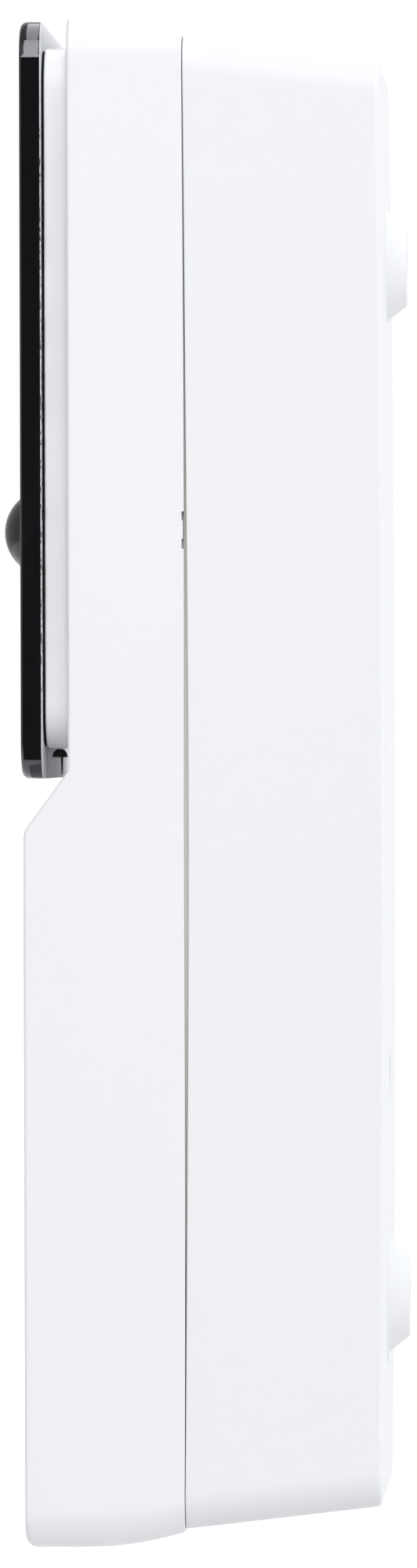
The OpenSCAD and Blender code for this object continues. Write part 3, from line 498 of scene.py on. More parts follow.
# Painted light: the print turns white by height at its top and bottom ends, where its glossy back
# mirrors the bright surround and where the slope's shadow falls. Between them its colour is near black
# with white noise flakes.
painted_bright_ends = math(tree, "MAXIMUM", ramp(tree, axes["Z"], 0.074, 0.086),
             ramp(tree, axes["Z"], 0.016, 0.004))
flakes_and_painted_ends = math(tree, "MAXIMUM", flakes, painted_bright_ends, clamp=True)
paint(tree, shader, flakes_and_painted_ends, (0.05, 0.045, 0.045), (0.88, 0.885, 0.91))
gloss(tree, shader, flakes_and_painted_ends, 0, 1, 0.6, 0.4)
bump(tree, shader, flakes_and_painted_ends, 0.01)
finish["white_print"] = material

# %% Light ring and light sources
material, tree, shader = start_material("light_ring", IOR=1.49, Transmission_Weight=0.55)
surface = place_group(tree, moulded, Grain=3500, Sink=150)
paint(tree, shader, surface["Mottle"], (0.8, 0.84, 0.88), (0.88, 0.91, 0.94))
gloss(tree, shader, surface["Sheen"], 0.3, 0.7, 0.28, 0.4)
bump(tree, shader, surface["Height"], 0.004)
finish["light_ring"] = material

material, tree, shader = start_material("led_package", Coat_Weight=0.6)
place = object_place(tree)
gel = noise(tree, place, 900, 2, 0.5)
paint(tree, shader, gel, (0.62, 0.55, 0.22), (0.85, 0.8, 0.5))
gloss(tree, shader, gel, 0.3, 0.7, 0.25, 0.4)
finish["led_package"] = material

material, tree, shader = start_material("speaker_cloth")
place, axes = place_axes(tree)
warp = math(tree, "SINE", math(tree, "MULTIPLY", axes["X"], 12000.0))
weft = math(tree, "SINE", math(tree, "MULTIPLY", axes["Z"], 12000.0))
cloth = math(tree, "MULTIPLY", warp, weft)
paint(tree, shader, ramp(tree, cloth, -0.6, 0.6), (0.012, 0.012, 0.013), (0.06, 0.06, 0.062))
gloss(tree, shader, cloth, -1, 1, 0.7, 0.55)
bump(tree, shader, cloth, 0.03)
speaker_cloth = material
print("finishes:", len(finish) + 1)

# %% Floor
material, tree, shader = start_material("pale_floor")
place = object_place(tree)
paper = noise(tree, place, 900, 4, 0.6)
paint(tree, shader, paper, (0.72, 0.72, 0.725), (0.76, 0.76, 0.765))
gloss(tree, shader, paper, 0.3, 0.7, 0.7, 0.85)
bump(tree, shader, paper, 0.05)
floor_mesh.materials.append(material)

# %% [markdown]
# ## Carried-over CAD nodes
# Screws, boards, shields, the cells' holder and other pieces have their true shape in the CAD
# already. They keep it, and only their material changes. The finish of a node comes from the
# record's slot for it.

# %% Paint the CAD nodes
for name, node in frame["nodes"].items():
    chosen = speaker_cloth if name == "speaker_mesh" else finish[node_slot[name]]
    for holder in node.material_slots:
        holder.material = chosen
print("painted", len(frame["nodes"]), "nodes")

# %% [markdown]
# ## Surfaces from arrays
# A new piece starts as one or more grids of points: rows and columns of (x, y, z), worked out for
# the whole array at once. Neighbouring points make four-sided faces. Where two grids share an edge,
# or a grid's last column lies on its first, merging the doubled points welds them into one skin.


# %% Mesh helpers
def skin(name, grids):
    """One mesh from point grids (rows, columns, 3) in millimetres: quads between neighbours,
    doubled points merged, faces turned outwards."""
    points, quads, start = [], [], 0
    for grid in grids:
        rows, columns = grid.shape[:2]
        index = np.arange(rows * columns).reshape(rows, columns) + start
        quads.append(np.stack([index[:-1, :-1], index[1:, :-1], index[1:, 1:], index[:-1, 1:]],
                              axis=-1).reshape(-1, 4))
        points.append(grid.reshape(-1, 3))
        start += rows * columns
    mesh = bpy.data.meshes.new(name)
    mesh.from_pydata((np.concatenate(points) * MM).tolist(), [], np.concatenate(quads).tolist())
    shape = bmesh.new()
    shape.from_mesh(mesh)
    bmesh.ops.remove_doubles(shape, verts=shape.verts, dist=1e-6)
    bmesh.ops.recalc_face_normals(shape, faces=shape.faces)
    shape.to_mesh(mesh)
    shape.free()
    piece = bpy.data.objects.new(name, mesh)
    bpy.context.scene.collection.objects.link(piece)
    return piece


def bake(piece):
    """Replaces the piece's mesh by what its modifiers make of it."""
    graph = bpy.context.evaluated_depsgraph_get()
    graph.update()
    old = piece.data
    piece.data = bpy.data.meshes.new_from_object(piece.evaluated_get(graph), depsgraph=graph)
    piece.modifiers.clear()
    piece.data.name = old.name
    bpy.data.meshes.remove(old)


def combine(piece, tool, operation):
    """Adds the tool to the piece (UNION) or takes it away (DIFFERENCE), then drops the tool."""
    change = piece.modifiers.new("combine", "BOOLEAN")
    change.operation = operation
    change.solver = "EXACT"
    change.object = tool
    bake(piece)
    bpy.data.objects.remove(tool)


def settle(piece, body, slot, *replaces, angle=38, material=None):
    """Smooth shading with sharp edges above the angle, weighted normals, finish, body and node."""
    piece.data.materials.clear()
    piece.data.materials.append(material or finish[slot])
    piece.data.shade_smooth()
    piece.data.set_sharp_from_angle(angle=np.radians(angle))
    even = piece.modifiers.new("even_normals", "WEIGHTED_NORMAL")
    even.keep_sharp = True
    if replaces:
        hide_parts(*replaces)
    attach(piece, body)
    print(piece.name, len(piece.data.polygons), "faces")
    return piece


# %% Profiles and turned pieces
def eased(corners, radii, steps=6):
    """A path through the corners, each rounded by an arc of its radius that touches both sides."""
    corners = np.asarray(corners, float)
    path = [corners[:1]]
    for before, corner, after, radius in zip(corners[:-2], corners[1:-1], corners[2:], radii):
        if radius <= 0:
            path.append(corner[None])
            continue
        u = (before - corner) / np.linalg.norm(before - corner)
        v = (after - corner) / np.linalg.norm(after - corner)
        half_angle = np.arccos(np.clip(u @ v, -1, 1)) / 2
        centre = corner + (u + v) / np.linalg.norm(u + v) * radius / np.sin(half_angle)
        first = corner + u * radius / np.tan(half_angle) - centre
        last = corner + v * radius / np.tan(half_angle) - centre
        share = np.linspace(0, 1, steps + 1)[:, None]
        sweep = np.pi - 2 * half_angle
        path.append(centre + (np.sin((1 - share) * sweep) * first + np.sin(share * sweep) * last)
                    / np.sin(sweep))
    path.append(corners[-1:])
    return np.concatenate(path)


def turned(profile, x, z, sides=72):
    """Grid of a profile (radius, depth) turned about the line through (x, z) along the depth:
    a point at angle a is (x + r cos a, y, z + r sin a)."""
    angle = np.linspace(0, 2 * np.pi, sides + 1)
    radius, depth = np.asarray(profile, float).T
    return np.stack([x + np.outer(radius, np.cos(angle)), np.outer(depth, np.ones(sides + 1)),
                     z + np.outer(radius, np.sin(angle))], axis=-1)


# %% [markdown]
# ## Housings
# Both housings are open boxes with round corners. Such a box can be one folded sheet. Its outline
# seen from the front is a list of rows from the bottom to the top, each with a point and an outward
# direction. From every row a strip runs along the depth: each of its points is moved inwards by d
# and lies at depth y. The strip on the left mirrors the one on the right, the two meet across the
# face, and a last strip closes the top and the bottom. The fillets are in the lists of d and y, so
# their radius may change along the outline. The inner wall is a second sheet of the same kind, and a
# rim joins the two.


# %% Outline and folded sheet
def outline(half_w, bottom, top, radius, side_rows, steps=14):
    """Right half of a rounded rectangle: a quarter circle, the straight side at the heights in
    side_rows, a quarter circle. Puts out x, z and the outward direction of each row."""
    low = np.radians(np.linspace(-90, 0, steps + 1))
    high = np.radians(np.linspace(0, 90, steps + 1))
    side = np.asarray(side_rows, float)
    x = np.concatenate([half_w - radius + radius * np.cos(low), np.full(side.size, half_w),
                        half_w - radius + radius * np.cos(high)])
    z = np.concatenate([bottom + radius + radius * np.sin(low), side,
                        top - radius + radius * np.sin(high)])
    out_x = np.concatenate([np.cos(low), np.ones(side.size), np.cos(high)])
    out_z = np.concatenate([np.sin(low), np.zeros(side.size), np.sin(high)])
    return x, z, out_x, out_z


def folded(rows, inset, depth, bend=None):
    """Both strips of a folded sheet: the point of row i moved inwards by inset[i, j] along the
    row's direction, at depth[i, j]; bend may move the points once more."""
    x, z, out_x, out_z = (value[:, None] for value in rows)
    right = np.stack([x - inset * out_x, depth + 0 * inset, z - inset * out_z], axis=-1)
    if bend is not None:
        right = bend(right)
    return right, right * np.array([-1.0, 1.0, 1.0])


def sheet_grids(right, left):
    """Grids of one folded sheet: both strips joined across the face, and the caps at both ends."""
    return [np.concatenate([left, right[:, ::-1]], axis=1),
            np.stack([left[-1], right[-1]], axis=1), np.stack([left[0], right[0]], axis=1)]


def rim_loop(right, left):
    """The open edge of a folded sheet as a closed line of points."""
    return np.concatenate([left[:, 0], right[::-1, 0], left[:1, 0]])


def edge_steps(radius, steps=6):
    """A quarter circle as (inset, way back from the face): inset = r (1 - cos a) and way back =
    r (1 - sin a), with a from 0 at the side to 90 degrees at the face."""
    a = np.radians(np.linspace(0, 90, steps + 1))
    radius = np.atleast_1d(radius)[:, None]
    return radius * (1 - np.cos(a)), radius * (1 - np.sin(a))


def strip(edge, face, inset, back, rim, share, facing=1):
    """Inset and depth of a strip from the open edge to the face: the edge's fillet of radius rim,
    points at these shares of the wall, and the face's fillet. facing is 1 for a face that looks
    along -y and -1 for one that looks along +y."""
    rim_inset, rim_back = edge_steps(rim, 3)
    start, end = edge - facing * rim, face[:, :1] + facing * back[:, :1]
    depth = np.concatenate([edge - facing * rim_back[:, ::-1], start + (end - start) * share,
                            face + facing * back], axis=1)
    inset = np.concatenate([np.tile(rim_inset[:, ::-1], (len(edge), 1)),
                            np.zeros((len(edge), len(share))), inset], axis=1)
    return inset, depth


along_wall = np.linspace(0, 1, 9)[1:-1]

# %% [markdown]
# ### Where the two housings meet
# A long plastic part never leaves its mould quite straight. The open edge of the front bows towards
# the wall by about 0.4 mm between its ends and its middle, and the gap to the rear housing is widest
# near the middle, where no clip pulls the two together. Both edges and the gasket follow one curve.

# %% Seam curve
front_low, front_high = corners("front_housing")
rear_low, rear_high = corners("rear_housing")
seam_y = (front_high[1] + rear_low[1]) / 2


def seam_middle(z):
    """Depth of the seam's middle at height z: a shallow arch, 0.4 mm deep at the ends."""
    return seam_y + 0.09 - 0.45 * ((z - 5) / 100) ** 2


def seam_gap(z):
    """Width of the seam: a bell curve near the middle on 0.16 mm, less at both ends."""
    return 0.16 - 0.1 * ((z - 5) / 92) ** 4 + 0.38 * np.exp(-((z + 6) / 38) ** 2)


print("seam at", round(seam_y, 2), "mm, gap", seam_gap(np.array([-90, 0, 90])).round(2))

# %% Front face profile
frame_low, frame_high = corners("panel_frame")
glass_low, glass_high = corners("glass_panel")
upper_y = frame_high[1]
lower_y = front_low[1]
slope_top = glass_low[2] + 0.9
slope_bottom = slope_top - (upper_y - lower_y) * 1.36
face_path = eased([(front_low[2], lower_y), (slope_bottom, lower_y), (slope_top, upper_y),
                   (front_high[2], upper_y)], [2.5, 0.5], 8)


def face_y(z):
    """Depth of the front face at height z: the lower face, the slope and the upper face."""
    return np.interp(z, face_path[:, 0], face_path[:, 1])


# %% Front housing
corner_r = 4.5
wall = 2.2
half_w = front_high[0]
even_rows = np.linspace(front_low[2] + corner_r + 1, front_high[2] - corner_r - 1, 42)
side_rows = np.unique(np.concatenate([even_rows, face_path[1:-1, 0]]).round(3))
underside_y = seam_y - 0.85 * (seam_y - upper_y)


def raise_underside(points):
    """Lifts the lowest 12 mm towards the seam: by 1.9 mm times the square of the way back, fading
    out smoothly with the height."""
    way = np.clip((points[..., 1] - underside_y) / (seam_y - underside_y), 0, 1)
    near = np.clip(1 - (points[..., 2] - front_low[2]) / 12, 0, 1)
    moved = points.copy()
    moved[..., 2] += 1.9 * way ** 2 * near ** 2 * (3 - 2 * near)
    return moved


def front_sheet(shrink, chin, side, brow, rim):
    """Folded sheet of the front housing, smaller by shrink. Its columns are the seam edge's fillet,
    the run along the side, and the face's fillet, whose radius goes from chin at the bottom over
    side to brow at the top."""
    rows = outline(half_w - shrink, front_low[2] + shrink, front_high[2] - shrink,
                   corner_r - shrink / 2, side_rows)
    z, out_z = rows[1], rows[3]
    fillet = (side + (chin - side) * np.clip(-out_z, 0, 1) ** 2
              + (brow - side) * np.clip(out_z, 0, 1) ** 2)
    inset, back = edge_steps(fillet)
    face = face_y(z[:, None] - inset * out_z[:, None]) + shrink
    edge = (seam_middle(z) - seam_gap(z) / 2)[:, None]
    return folded(rows, *strip(edge, face, inset, back, rim, along_wall), raise_underside)


def box_skin(name, outer, inner):
    """An open box with walls: the outer sheet, the inner sheet and the rim between them."""
    grids = sheet_grids(*outer) + sheet_grids(*inner)
    grids.append(np.stack([rim_loop(*outer), rim_loop(*inner)], axis=1))
    return skin(name, grids)


front_shell = box_skin("front_shell", front_sheet(0, 1.3, 0.42, 0.4, 0.16),
                       front_sheet(wall, 0.6, 0.3, 0.3, 0.05))
print("front shell", len(front_shell.data.polygons), "faces")

# %% [markdown]
# ### Holes
# A hole is taken out with a turned cutter. Its profile flares a little at the face, as the mould's
# pin leaves it, so the rim of every hole catches the light. All cutters of one housing are a single
# object, and one Boolean takes them all away.


# %% Cutters
def pin(x, z, radius, face, back, flare=0.15, sides=48):
    """Closed grid of a cutter along the depth, wider by flare where it passes the face."""
    wide = radius + flare * 1.6
    profile = [(0, face - 1), (wide, face - 1), (wide, face), (radius + flare, face),
               (radius + flare * 0.3, face + flare * 0.4), (radius, face + flare * 1.2),
               (radius, back), (0, back)]
    return turned(profile, x, z, sides)


window_low, window_high = corners("camera_window")
dome_low, dome_high = corners("pir_lens")
button_low, button_high = corners("bell_button")
halo_low, halo_high = corners("light_ring")
cloth_low, cloth_high = corners("speaker_mesh")
camera_z = (window_low[2] + window_high[2]) / 2
dome_z = (dome_low[2] + dome_high[2]) / 2
button_z = (button_low[2] + button_high[2]) / 2
speaker_z = (cloth_low[2] + cloth_high[2]) / 2
window_r = (window_high[0] - window_low[0]) / 2
halo_r = 16.9
dome_hole = 4.85
pitch = 3.4
holes = [(x * pitch, speaker_z + row * pitch) for x in np.arange(-2.5, 3) for row in (-1, 0, 1)]
inside_y = lower_y + wall
cutters = [pin(x, z, 0.8, float(face_y(z)), inside_y + 1, 0.12, 32) for x, z in holes]
cutters.append(pin(0, button_z, halo_r + 0.04, float(face_y(button_z)), inside_y + 1, 0.1, 120))
cutters.append(pin(0, camera_z, 5.4, upper_y, upper_y + wall + 1, 0.1))
cutters.append(pin(0, dome_z, dome_hole, upper_y, upper_y + wall + 1, 0.1))
combine(front_shell, skin("front_cutters", cutters), "DIFFERENCE")
print(len(cutters), "holes cut")


# %% Pry notch
def bar(low, high):
    """Closed grids of an upright box between two corners: its four sides and its two ends."""
    (x0, y0, z0), (x1, y1, z1) = low, high
    ring = np.array([(x0, y0), (x1, y0), (x1, y1), (x0, y1), (x0, y0)], float)
    sides = np.stack([np.column_stack([ring, np.full(5, z)]) for z in (z0, z1)])
    ends = [np.array([[(x, y, z) for x in (x0, x1)] for y in (y0, y1)], float) for z in (z0, z1)]
    return [sides, *ends]


notch_z = 30.6
notch_y = float(seam_middle(notch_z) - seam_gap(notch_z) / 2)
for deep, low, high in ((0.12, 28.9, 32.2), (0.28, 28.2, 29.4), (0.28, 31.6, 32.7)):
    notch = bar((half_w - 1.4, notch_y - deep, low), (half_w + 1, notch_y + 1, high))
    combine(front_shell, skin("pry_notch", notch), "DIFFERENCE")
settle(front_shell, "front_unit", "white_front", "front_housing")

# %% [markdown]
# ### Rear housing
# The rear box narrows towards the wall, because it has to leave its mould: the same folded sheet is
# bent by a taper that grows with the depth. The back face is slightly crowned. The feet are turned
# cones with a fillet at the root, joined to the box by a Boolean before the holes are cut, so that
# each screw hole goes through foot, floor and inner pad in one go.

# %% Rear box
foot_h = 2.3
floor_t = 2.6
back_y = rear_high[1] - foot_h
rear_mid = (rear_low[2] + rear_high[2]) / 2
rear_half = (rear_high[2] - rear_low[2]) / 2
rear_rows = np.linspace(rear_low[2] + corner_r + 1, rear_high[2] - corner_r - 1, 40)


def crown(z):
    """Depth of the back face at height z: a parabola, 0.6 mm lower at the ends."""
    return back_y - 0.6 * ((z - rear_mid) / rear_half) ** 2


def draft(points):
    """Taper: the height shrinks by 2.7 mm at each end and the width by 1.2 mm on each side, in
    proportion to the way from the seam to the back."""
    way = np.clip((points[..., 1] - seam_y) / (back_y - seam_y), 0, 1.05)
    moved = points.copy()
    moved[..., 0] *= 1 - 1.2 / half_w * way
    moved[..., 2] = rear_mid + (points[..., 2] - rear_mid) * (1 - 2.7 / rear_half * way)
    return moved


def rear_sheet(shrink, floor, edge_r, rim):
    """Folded sheet of the rear box, smaller by shrink and with its floor nearer by floor."""
    rows = outline(half_w - shrink, rear_low[2] + shrink, rear_high[2] - shrink,
                   corner_r - shrink / 2, rear_rows)
    z = rows[1]
    inset, back = edge_steps(np.full(z.size, edge_r))
    face = (crown(z) - floor)[:, None]
    edge = (seam_middle(z) + seam_gap(z) / 2)[:, None]
    return folded(rows, *strip(edge, face, inset, back, rim, along_wall, -1), draft)


rear_shell = box_skin("rear_shell", rear_sheet(0, 0, 0.55, 0.16), rear_sheet(2.4, floor_t, 0.8, 0.05))
print("rear shell", len(rear_shell.data.polygons), "faces")

# %% Feet, pads and posts
foot_z = 63.5
base = float(crown(foot_z))
floor_y = back_y - floor_t
foot = eased([(0, base - 1), (8.2, base - 1), (8.2, base - 0.02), (7, base), (4.9, 0), (0, 0)],
             [0, 0, 0.7, 0.45])
pad = eased([(0, floor_y + 1), (7, floor_y + 1), (7, floor_y - 1.2), (0, floor_y - 1.2)], [0, 0.3])
post = eased([(0, floor_y + 1), (2.8, floor_y + 1), (2.8, floor_y - 3.6), (0, floor_y - 3.6)],
             [0, 0.2])
additions = [turned(profile, 0, side * foot_z, 96) for side in (-1, 1) for profile in (foot, pad)]
additions += [turned(post, side * 22, -50, 40) for side in (-1, 1)]
combine(rear_shell, skin("rear_additions", additions), "UNION")

# %% Rear holes
grommet_low, grommet_high = corners("cable_grommet")
cable_z = (grommet_low[2] + grommet_high[2]) / 2
screw_hole = [(0, 1), (2.65, 1), (2.65, 0), (2.5, -0.05), (2.25, -0.35), (2.25, -7), (0, -7)]
cable_hole = [(0, 0), (3.8, 0), (3.8, back_y), (3.5, back_y - 0.3), (3.5, -7), (0, -7)]
drills = [turned(screw_hole, 0, side * foot_z, 64) for side in (-1, 1)]
drills.append(turned(cable_hole, 0, cable_z, 64))
combine(rear_shell, skin("rear_drills", drills), "DIFFERENCE")
settle(rear_shell, "rear_unit", "white_rear", "rear_housing")

# %% [markdown]
# ### Gasket
# A soft ring lies in the seam, a quarter of a millimetre inside the faces where the gap is widest
# and deeper towards the ends. Its section is a closed line of six points, carried round the
# outline like the housings' own strips.

# %% Seam gasket
rows = outline(half_w - 0.25, rear_low[2] + 0.25, rear_high[2] - 0.25, corner_r - 0.25, rear_rows)
section_in = np.array([0.12, 0, 0.12, 1.2, 1.2, 0.12])
section_gap = np.array([-0.5, 0, 0.5, 0.5, -0.5, -0.5])
z = rows[1][:, None]
sunk = 0.5 * (1 - np.exp(-((z + 6) / 38) ** 2))
ring = folded(rows, section_in + sunk, seam_middle(z) + seam_gap(z) * section_gap)
gasket = skin("seam_seal", [*ring, np.stack([ring[1][-1], ring[0][-1]], axis=1),
                            np.stack([ring[1][0], ring[0][0]], axis=1)])
settle(gasket, "rear_unit", "gasket_rubber", "seam_gasket")

# %% [markdown]
# ## Glass plate and its frame
# The plate is float glass with ground and polished edges, so its outline is crisp but its edges are
# round enough to draw a thin bright line. Behind it lie a white print, a black foam tape and the
# white frame, each a little smaller, which together make the stepped side of the panel. The plate
# and the frame are the folded sheet again, closed at the back.


# %% Plates
def plate(name, low, high, radius, front_edge, back_edge, rows=24):
    """A flat plate with round corners: a folded sheet between the depths of its box, closed by a
    flat back. The front fillet grows from front_edge[0] at the sides to front_edge[1] at the ends."""
    line = outline(high[0], low[2], high[2], radius,
                   np.linspace(low[2] + radius + 1, high[2] - radius - 1, rows))
    edge, face = (np.full((line[0].size, 1), depth) for depth in (high[1], low[1]))
    inset, back = edge_steps(front_edge[0] + (front_edge[1] - front_edge[0]) * line[3] ** 2)
    right, left = folded(line, *strip(edge, face, inset, back, back_edge, np.array([0.33, 0.67])))
    grids = sheet_grids(right, left) + [np.stack([left[:, 0], right[:, 0]], axis=1)]
    return skin(name, grids)


panel_glass = plate("panel_glass", glass_low, glass_high, 4.6, (0.28, 0.85), 0.08)
near, far = glass_low[1], glass_high[1] + 1
glass_holes = [turned([(0, near - 1), (r + 0.3, near - 1), (r + 0.3, near), (r + 0.08, near + 0.05),
                       (r, near + 0.2), (r, far), (0, far)], 0, z, 96)
               for z, r in ((camera_z, window_r + 0.05), (dome_z, 5.6))]
combine(panel_glass, skin("glass_holes", glass_holes), "DIFFERENCE")
settle(panel_glass, "front_unit", "black_glass", "glass_panel")

panel_rim = plate("panel_rim", frame_low, frame_high, 5.0, (0.3, 0.3), 0.12)
sites = [(0, camera_z, window_r + 0.3, window_r + 0.28), (0, dome_z, 7.6, dome_hole)]
sites += [(x, camera_z + up, 1.7, 1.68)
          for x, up in ((15, 7), (-15, 7), (15, -7), (-15, -7), (0, 13.5))]
near, far = frame_low[1], frame_high[1] + 1
rim_holes = [turned([(0, near - 1), (r, near - 1), (r, near + 1), (small, near + 1), (small, far),
                     (0, far)], x, z, 64)
             for x, z, r, small in sites]
combine(panel_rim, skin("rim_holes", rim_holes), "DIFFERENCE")
settle(panel_rim, "front_unit", "white_frame", "panel_frame")

# %% [markdown]
# ## Sensor dome, camera and button
# These are round about a line along the depth, so each is a profile turned about its own centre. The
# dome is a spherical cap on a neck; its sphere follows from the cap's own radius and the height that
# stands out of the glass: R = (r r + h h) / 2 h. A thin pale ring at its base is a painted highlight:
# it stands for the bright edge line of the glass around the dome.

# %% Sensor dome
def disc(name, profile, z, sides, slot, *nodes, body="front_unit"):
    """A settled piece: the profile turned about the line along the depth at height z."""
    return settle(skin(name, [turned(profile, 0, z, sides)]), body, slot, *nodes)


neck = 5.5
foot_r = 5.1
highlight_ring_depth = 0.12
proud = glass_low[1] - highlight_ring_depth - dome_low[1]
ball = (foot_r ** 2 + proud ** 2) / (2 * proud)
ball_y = dome_low[1] + ball
rim_angle = np.arcsin((ball - proud) / ball)
sweep = np.linspace(np.pi / 2, rim_angle, 28)
cap = np.column_stack([ball * np.cos(sweep), ball_y - ball * np.sin(sweep)])
hollow = np.column_stack([(ball - 0.6) * np.cos(sweep), ball_y - (ball - 0.6) * np.sin(sweep)])
glass_y, flange_y = glass_low[1] + 0.02, dome_high[1] - 1
skirt = eased([(foot_r, glass_y), (neck, glass_y), (neck, flange_y), (7.5, flange_y),
               (7.5, dome_high[1]), (neck - 0.75, dome_high[1])], [0.05, 0.2, 0.15, 0.1])
profile = np.concatenate([cap, skirt, hollow[::-1]])
disc("sensor_dome", profile, dome_z, 120, "black_dome", "pir_lens")
# The pale ring at the dome's base is a painted highlight: a white ring for the bright edge line of the
# glass around the dome.
inner, front_y, rear_y = foot_r + 0.01, glass_low[1] - highlight_ring_depth, glass_low[1] + 0.01
highlight_ring = [(inner, rear_y), (inner, front_y), (neck, front_y), (neck, rear_y), (inner, rear_y)]
disc("dome_highlight_ring", highlight_ring, dome_z, 120, "white_frame")

# %% Camera window, bezel, barrel and lens
glass = eased([(0, window_low[1]), (window_r, window_low[1]), (window_r, window_high[1]),
               (0, window_high[1])], [0.12, 0.08])
disc("window_disc", glass, camera_z, 96, "clear_glass", "camera_window")
deep = window_high[1]
bezel_high = corners("lens_bezel")[1][1]
steps = [(7.4, deep), (7.1, deep + 0.25), (6.6, deep + 0.25), (6.5, deep + 0.75),
         (6.0, deep + 0.75), (5.9, deep + 1.3), (5.45, deep + 1.3), (5.4, deep + 2.0),
         (5.2, deep + 2.0), (5.2, bezel_high)]
profile = [*steps, (window_r - 0.02, bezel_high), (window_r - 0.02, deep), (7.4, deep)]
disc("lens_baffle", profile, camera_z, 96, "black_plastic", "lens_bezel")
barrel_low, barrel_high = corners("lens_barrel")
lens_low, lens_high = corners("front_lens")
profile = eased([(0, barrel_high[1]), (5, barrel_high[1]), (5, barrel_low[1]), (4.45, barrel_low[1]),
                 (4.35, barrel_low[1] + 0.35), (4, barrel_low[1] + 0.35), (4, lens_high[1] + 0.02),
                 (0, lens_high[1] + 0.02)], [0.15, 0.12, 0.05, 0.05, 0.05, 0.05])
disc("lens_tube", profile, camera_z, 96, "black_plastic", "lens_barrel")
rise = lens_high[1] - lens_low[1]
lens_r = 4
bow = (lens_r ** 2 + rise ** 2) / (2 * rise)
sweep = np.linspace(0, np.arcsin(lens_r / bow), 24)
bowl = np.column_stack([bow * np.sin(sweep), lens_low[1] + bow * (1 - np.cos(sweep))])
profile = np.concatenate([bowl, [(0, lens_high[1])]])
disc("front_glass", profile, camera_z, 96, "lens_glass", "front_lens")

# %% Bell button and light ring
face = button_low[1]
flange = halo_high[1] + 0.02
heel = button_high[1] - 1.1
profile = eased([(0, face + 0.26), (7, face + 0.1), (12.6, face), (14, face + 0.16), (14, flange),
                 (15, flange), (15, heel), (12.4, heel), (12.4, face + 2.2), (2.95, face + 2.2),
                 (1.75, button_high[1]), (0, button_high[1])],
                [18, 10, 0.55, 0.1, 0.15, 0.15, 0.2, 0.3, 0.3, 0.1], 8)
disc("push_button", profile, button_z, 144, "button_white", "bell_button", body="bell_button")
step_y = lower_y + wall
bore, lip = 14.2, halo_r + 1.4
profile = eased([(bore, halo_low[1] + 1.5), (bore, halo_low[1]), (halo_r, halo_low[1]),
                 (halo_r, step_y), (lip, step_y), (lip, halo_high[1]), (bore, halo_high[1]),
                 (bore, halo_low[1] + 1.5)], [0.3, 0.2, 0.05, 0.1, 0.1, 0.1])
disc("light_halo", profile, button_z, 144, "light_ring", "light_ring")

# %% [markdown]
# ## Microphone boot
# A small rubber mushroom sits under the frame's lower edge, on a thin rib. It is turned about an
# upright line, so its grid swaps the roles of depth and height.


# %% Boot
def turned_up(profile, x, y, sides=48):
    """Grid of a profile (radius, height) turned about the upright line through (x, y)."""
    grid = turned(profile, x, 0, sides)
    return np.stack([grid[..., 0], y + grid[..., 2], grid[..., 1]], axis=-1)


boot_low, boot_high = corners("microphone_boot")
boot_r = (boot_high[0] - boot_low[0]) / 2
boot_x, boot_y = (boot_high[0] + boot_low[0]) / 2, (boot_high[1] + boot_low[1]) / 2
head = boot_high[2]
profile = eased([(0, head - 0.15), (boot_r * 0.4, head - 0.15), (boot_r * 0.85, head - 0.5),
                 (boot_r, head - 1.15), (0, head - 1.05)], [0.6, 0.5, 0.06])
rib_y = boot_y + 0.25
rib = bar((boot_x - 0.7, rib_y - 0.12, boot_low[2]), (boot_x + 0.7, rib_y + 0.12, head - 0.9))
rib[0][0, :, 1] = rib_y + 0.35 * (rib[0][0, :, 1] - rib_y)
rib[1][:, :, 1] = rib_y + 0.35 * (rib[1][:, :, 1] - rib_y)
boot = skin("mic_boot", [turned_up(profile, boot_x, boot_y), *rib])
settle(boot, "front_unit", "black_rubber", "microphone_boot")

# %% [markdown]
# ## Cells and their springs
# Inside the rear box lie two cells. A cell is a steel can in a printed sleeve that is shrunk over its
# edges, with a bright cap at the top. The springs are round wire, swept along a helix.

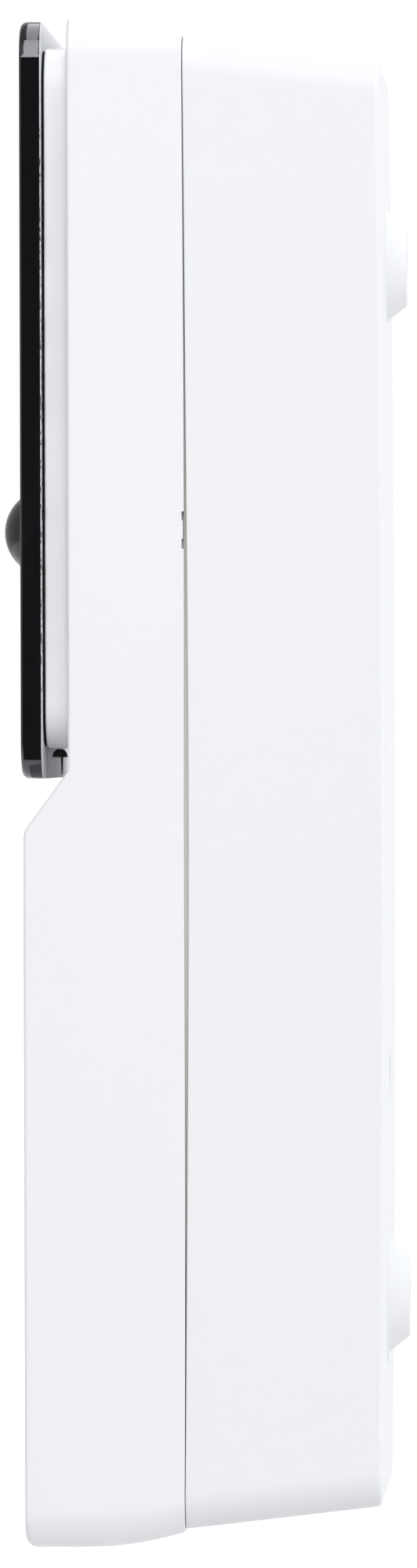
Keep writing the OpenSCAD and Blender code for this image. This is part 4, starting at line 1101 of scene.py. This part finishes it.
# %% Cells
cell_low, cell_high = corners("battery_cells")
cell_r = (cell_high[1] - cell_low[1]) / 2
cell_y = (cell_high[1] + cell_low[1]) / 2
cell_x = cell_high[0] - cell_r
shoulder = cell_high[2] - 1.2
sleeve = eased([(0, cell_low[2] + 0.2), (7.4, cell_low[2] + 0.2), (7.5, cell_low[2]),
                (cell_r, cell_low[2]), (cell_r, shoulder), (6.9, shoulder), (6.8, shoulder - 0.25),
                (0, shoulder - 0.25)],
               [0.05, 0.1, 0.8, 0.9, 0.1, 0.05])
cap_line = eased([(0, shoulder - 0.4), (6.6, shoulder - 0.4), (6.6, shoulder - 0.05),
                  (3.6, shoulder - 0.05), (3.2, cell_high[2]), (0, cell_high[2])],
                 [0.1, 0.2, 0.3, 0.3])
sleeves = skin("cell_sleeves", [turned_up(sleeve, side * cell_x, cell_y, 80) for side in (-1, 1)])
settle(sleeves, "rear_unit", "cell_wrap", "battery_cells")
caps = skin("cell_caps", [turned_up(cap_line, side * cell_x, cell_y, 64) for side in (-1, 1)])
settle(caps, "rear_unit", "steel")


# %% Battery springs
def wire(line, radius, sides=12):
    """Round wire along a line of points: at each point a circle of that radius stands across the
    line, turned between the line's own sideways direction and the one square to both."""
    ahead = np.gradient(line, axis=0)
    ahead /= np.linalg.norm(ahead, axis=1)[:, None]
    sideways = np.cross(ahead, [0.0, 0, 1])
    sideways /= np.linalg.norm(sideways, axis=1)[:, None]
    upward = np.cross(sideways, ahead)
    a = np.linspace(0, 2 * np.pi, sides + 1)[None, :, None]
    tube = line[:, None] + radius * (np.cos(a) * sideways[:, None] + np.sin(a) * upward[:, None])
    ends = [np.stack([tube[k], np.tile(line[k], (sides + 1, 1))]) for k in (0, -1)]
    return [tube, *ends]


spring_low, spring_high = corners("battery_springs")
turns = np.linspace(0, 3.6 * 2 * np.pi, 150)
share = turns / turns[-1]
wire_r = 0.35
height = (spring_low[2] + wire_r
          + (spring_high[2] - spring_low[2] - 2 * wire_r) * np.clip(share * 1.25 - 0.12, 0, 1))
reach = cell_r / 2 - 1.3 * share
coils = []
for side in (-1, 1):
    line = np.column_stack([side * cell_x + reach * np.cos(turns),
                            cell_y + reach * np.sin(turns), height])
    coils += wire(line, wire_r)
settle(skin("spring_coils", coils), "rear_unit", "steel", "battery_springs")

# %% Return spring
coil_low, coil_high = corners("button_spring")
wire_r, press = 0.3, 0.5
around = np.linspace(0, 4 * 2 * np.pi, 160)
coil_r = (coil_high[0] - coil_low[0]) / 2 - wire_r
climb = np.linspace(coil_low[1] + wire_r, coil_high[1] - wire_r, around.size)
line = np.column_stack([coil_r * np.cos(around), coil_r * np.sin(around), climb])
coil = skin("return_coil", [grid[..., [0, 2, 1]] + [0, 0, button_z] for grid in wire(line, wire_r)])
settle(coil, "front_unit", "steel", "button_spring")
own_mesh(coil)
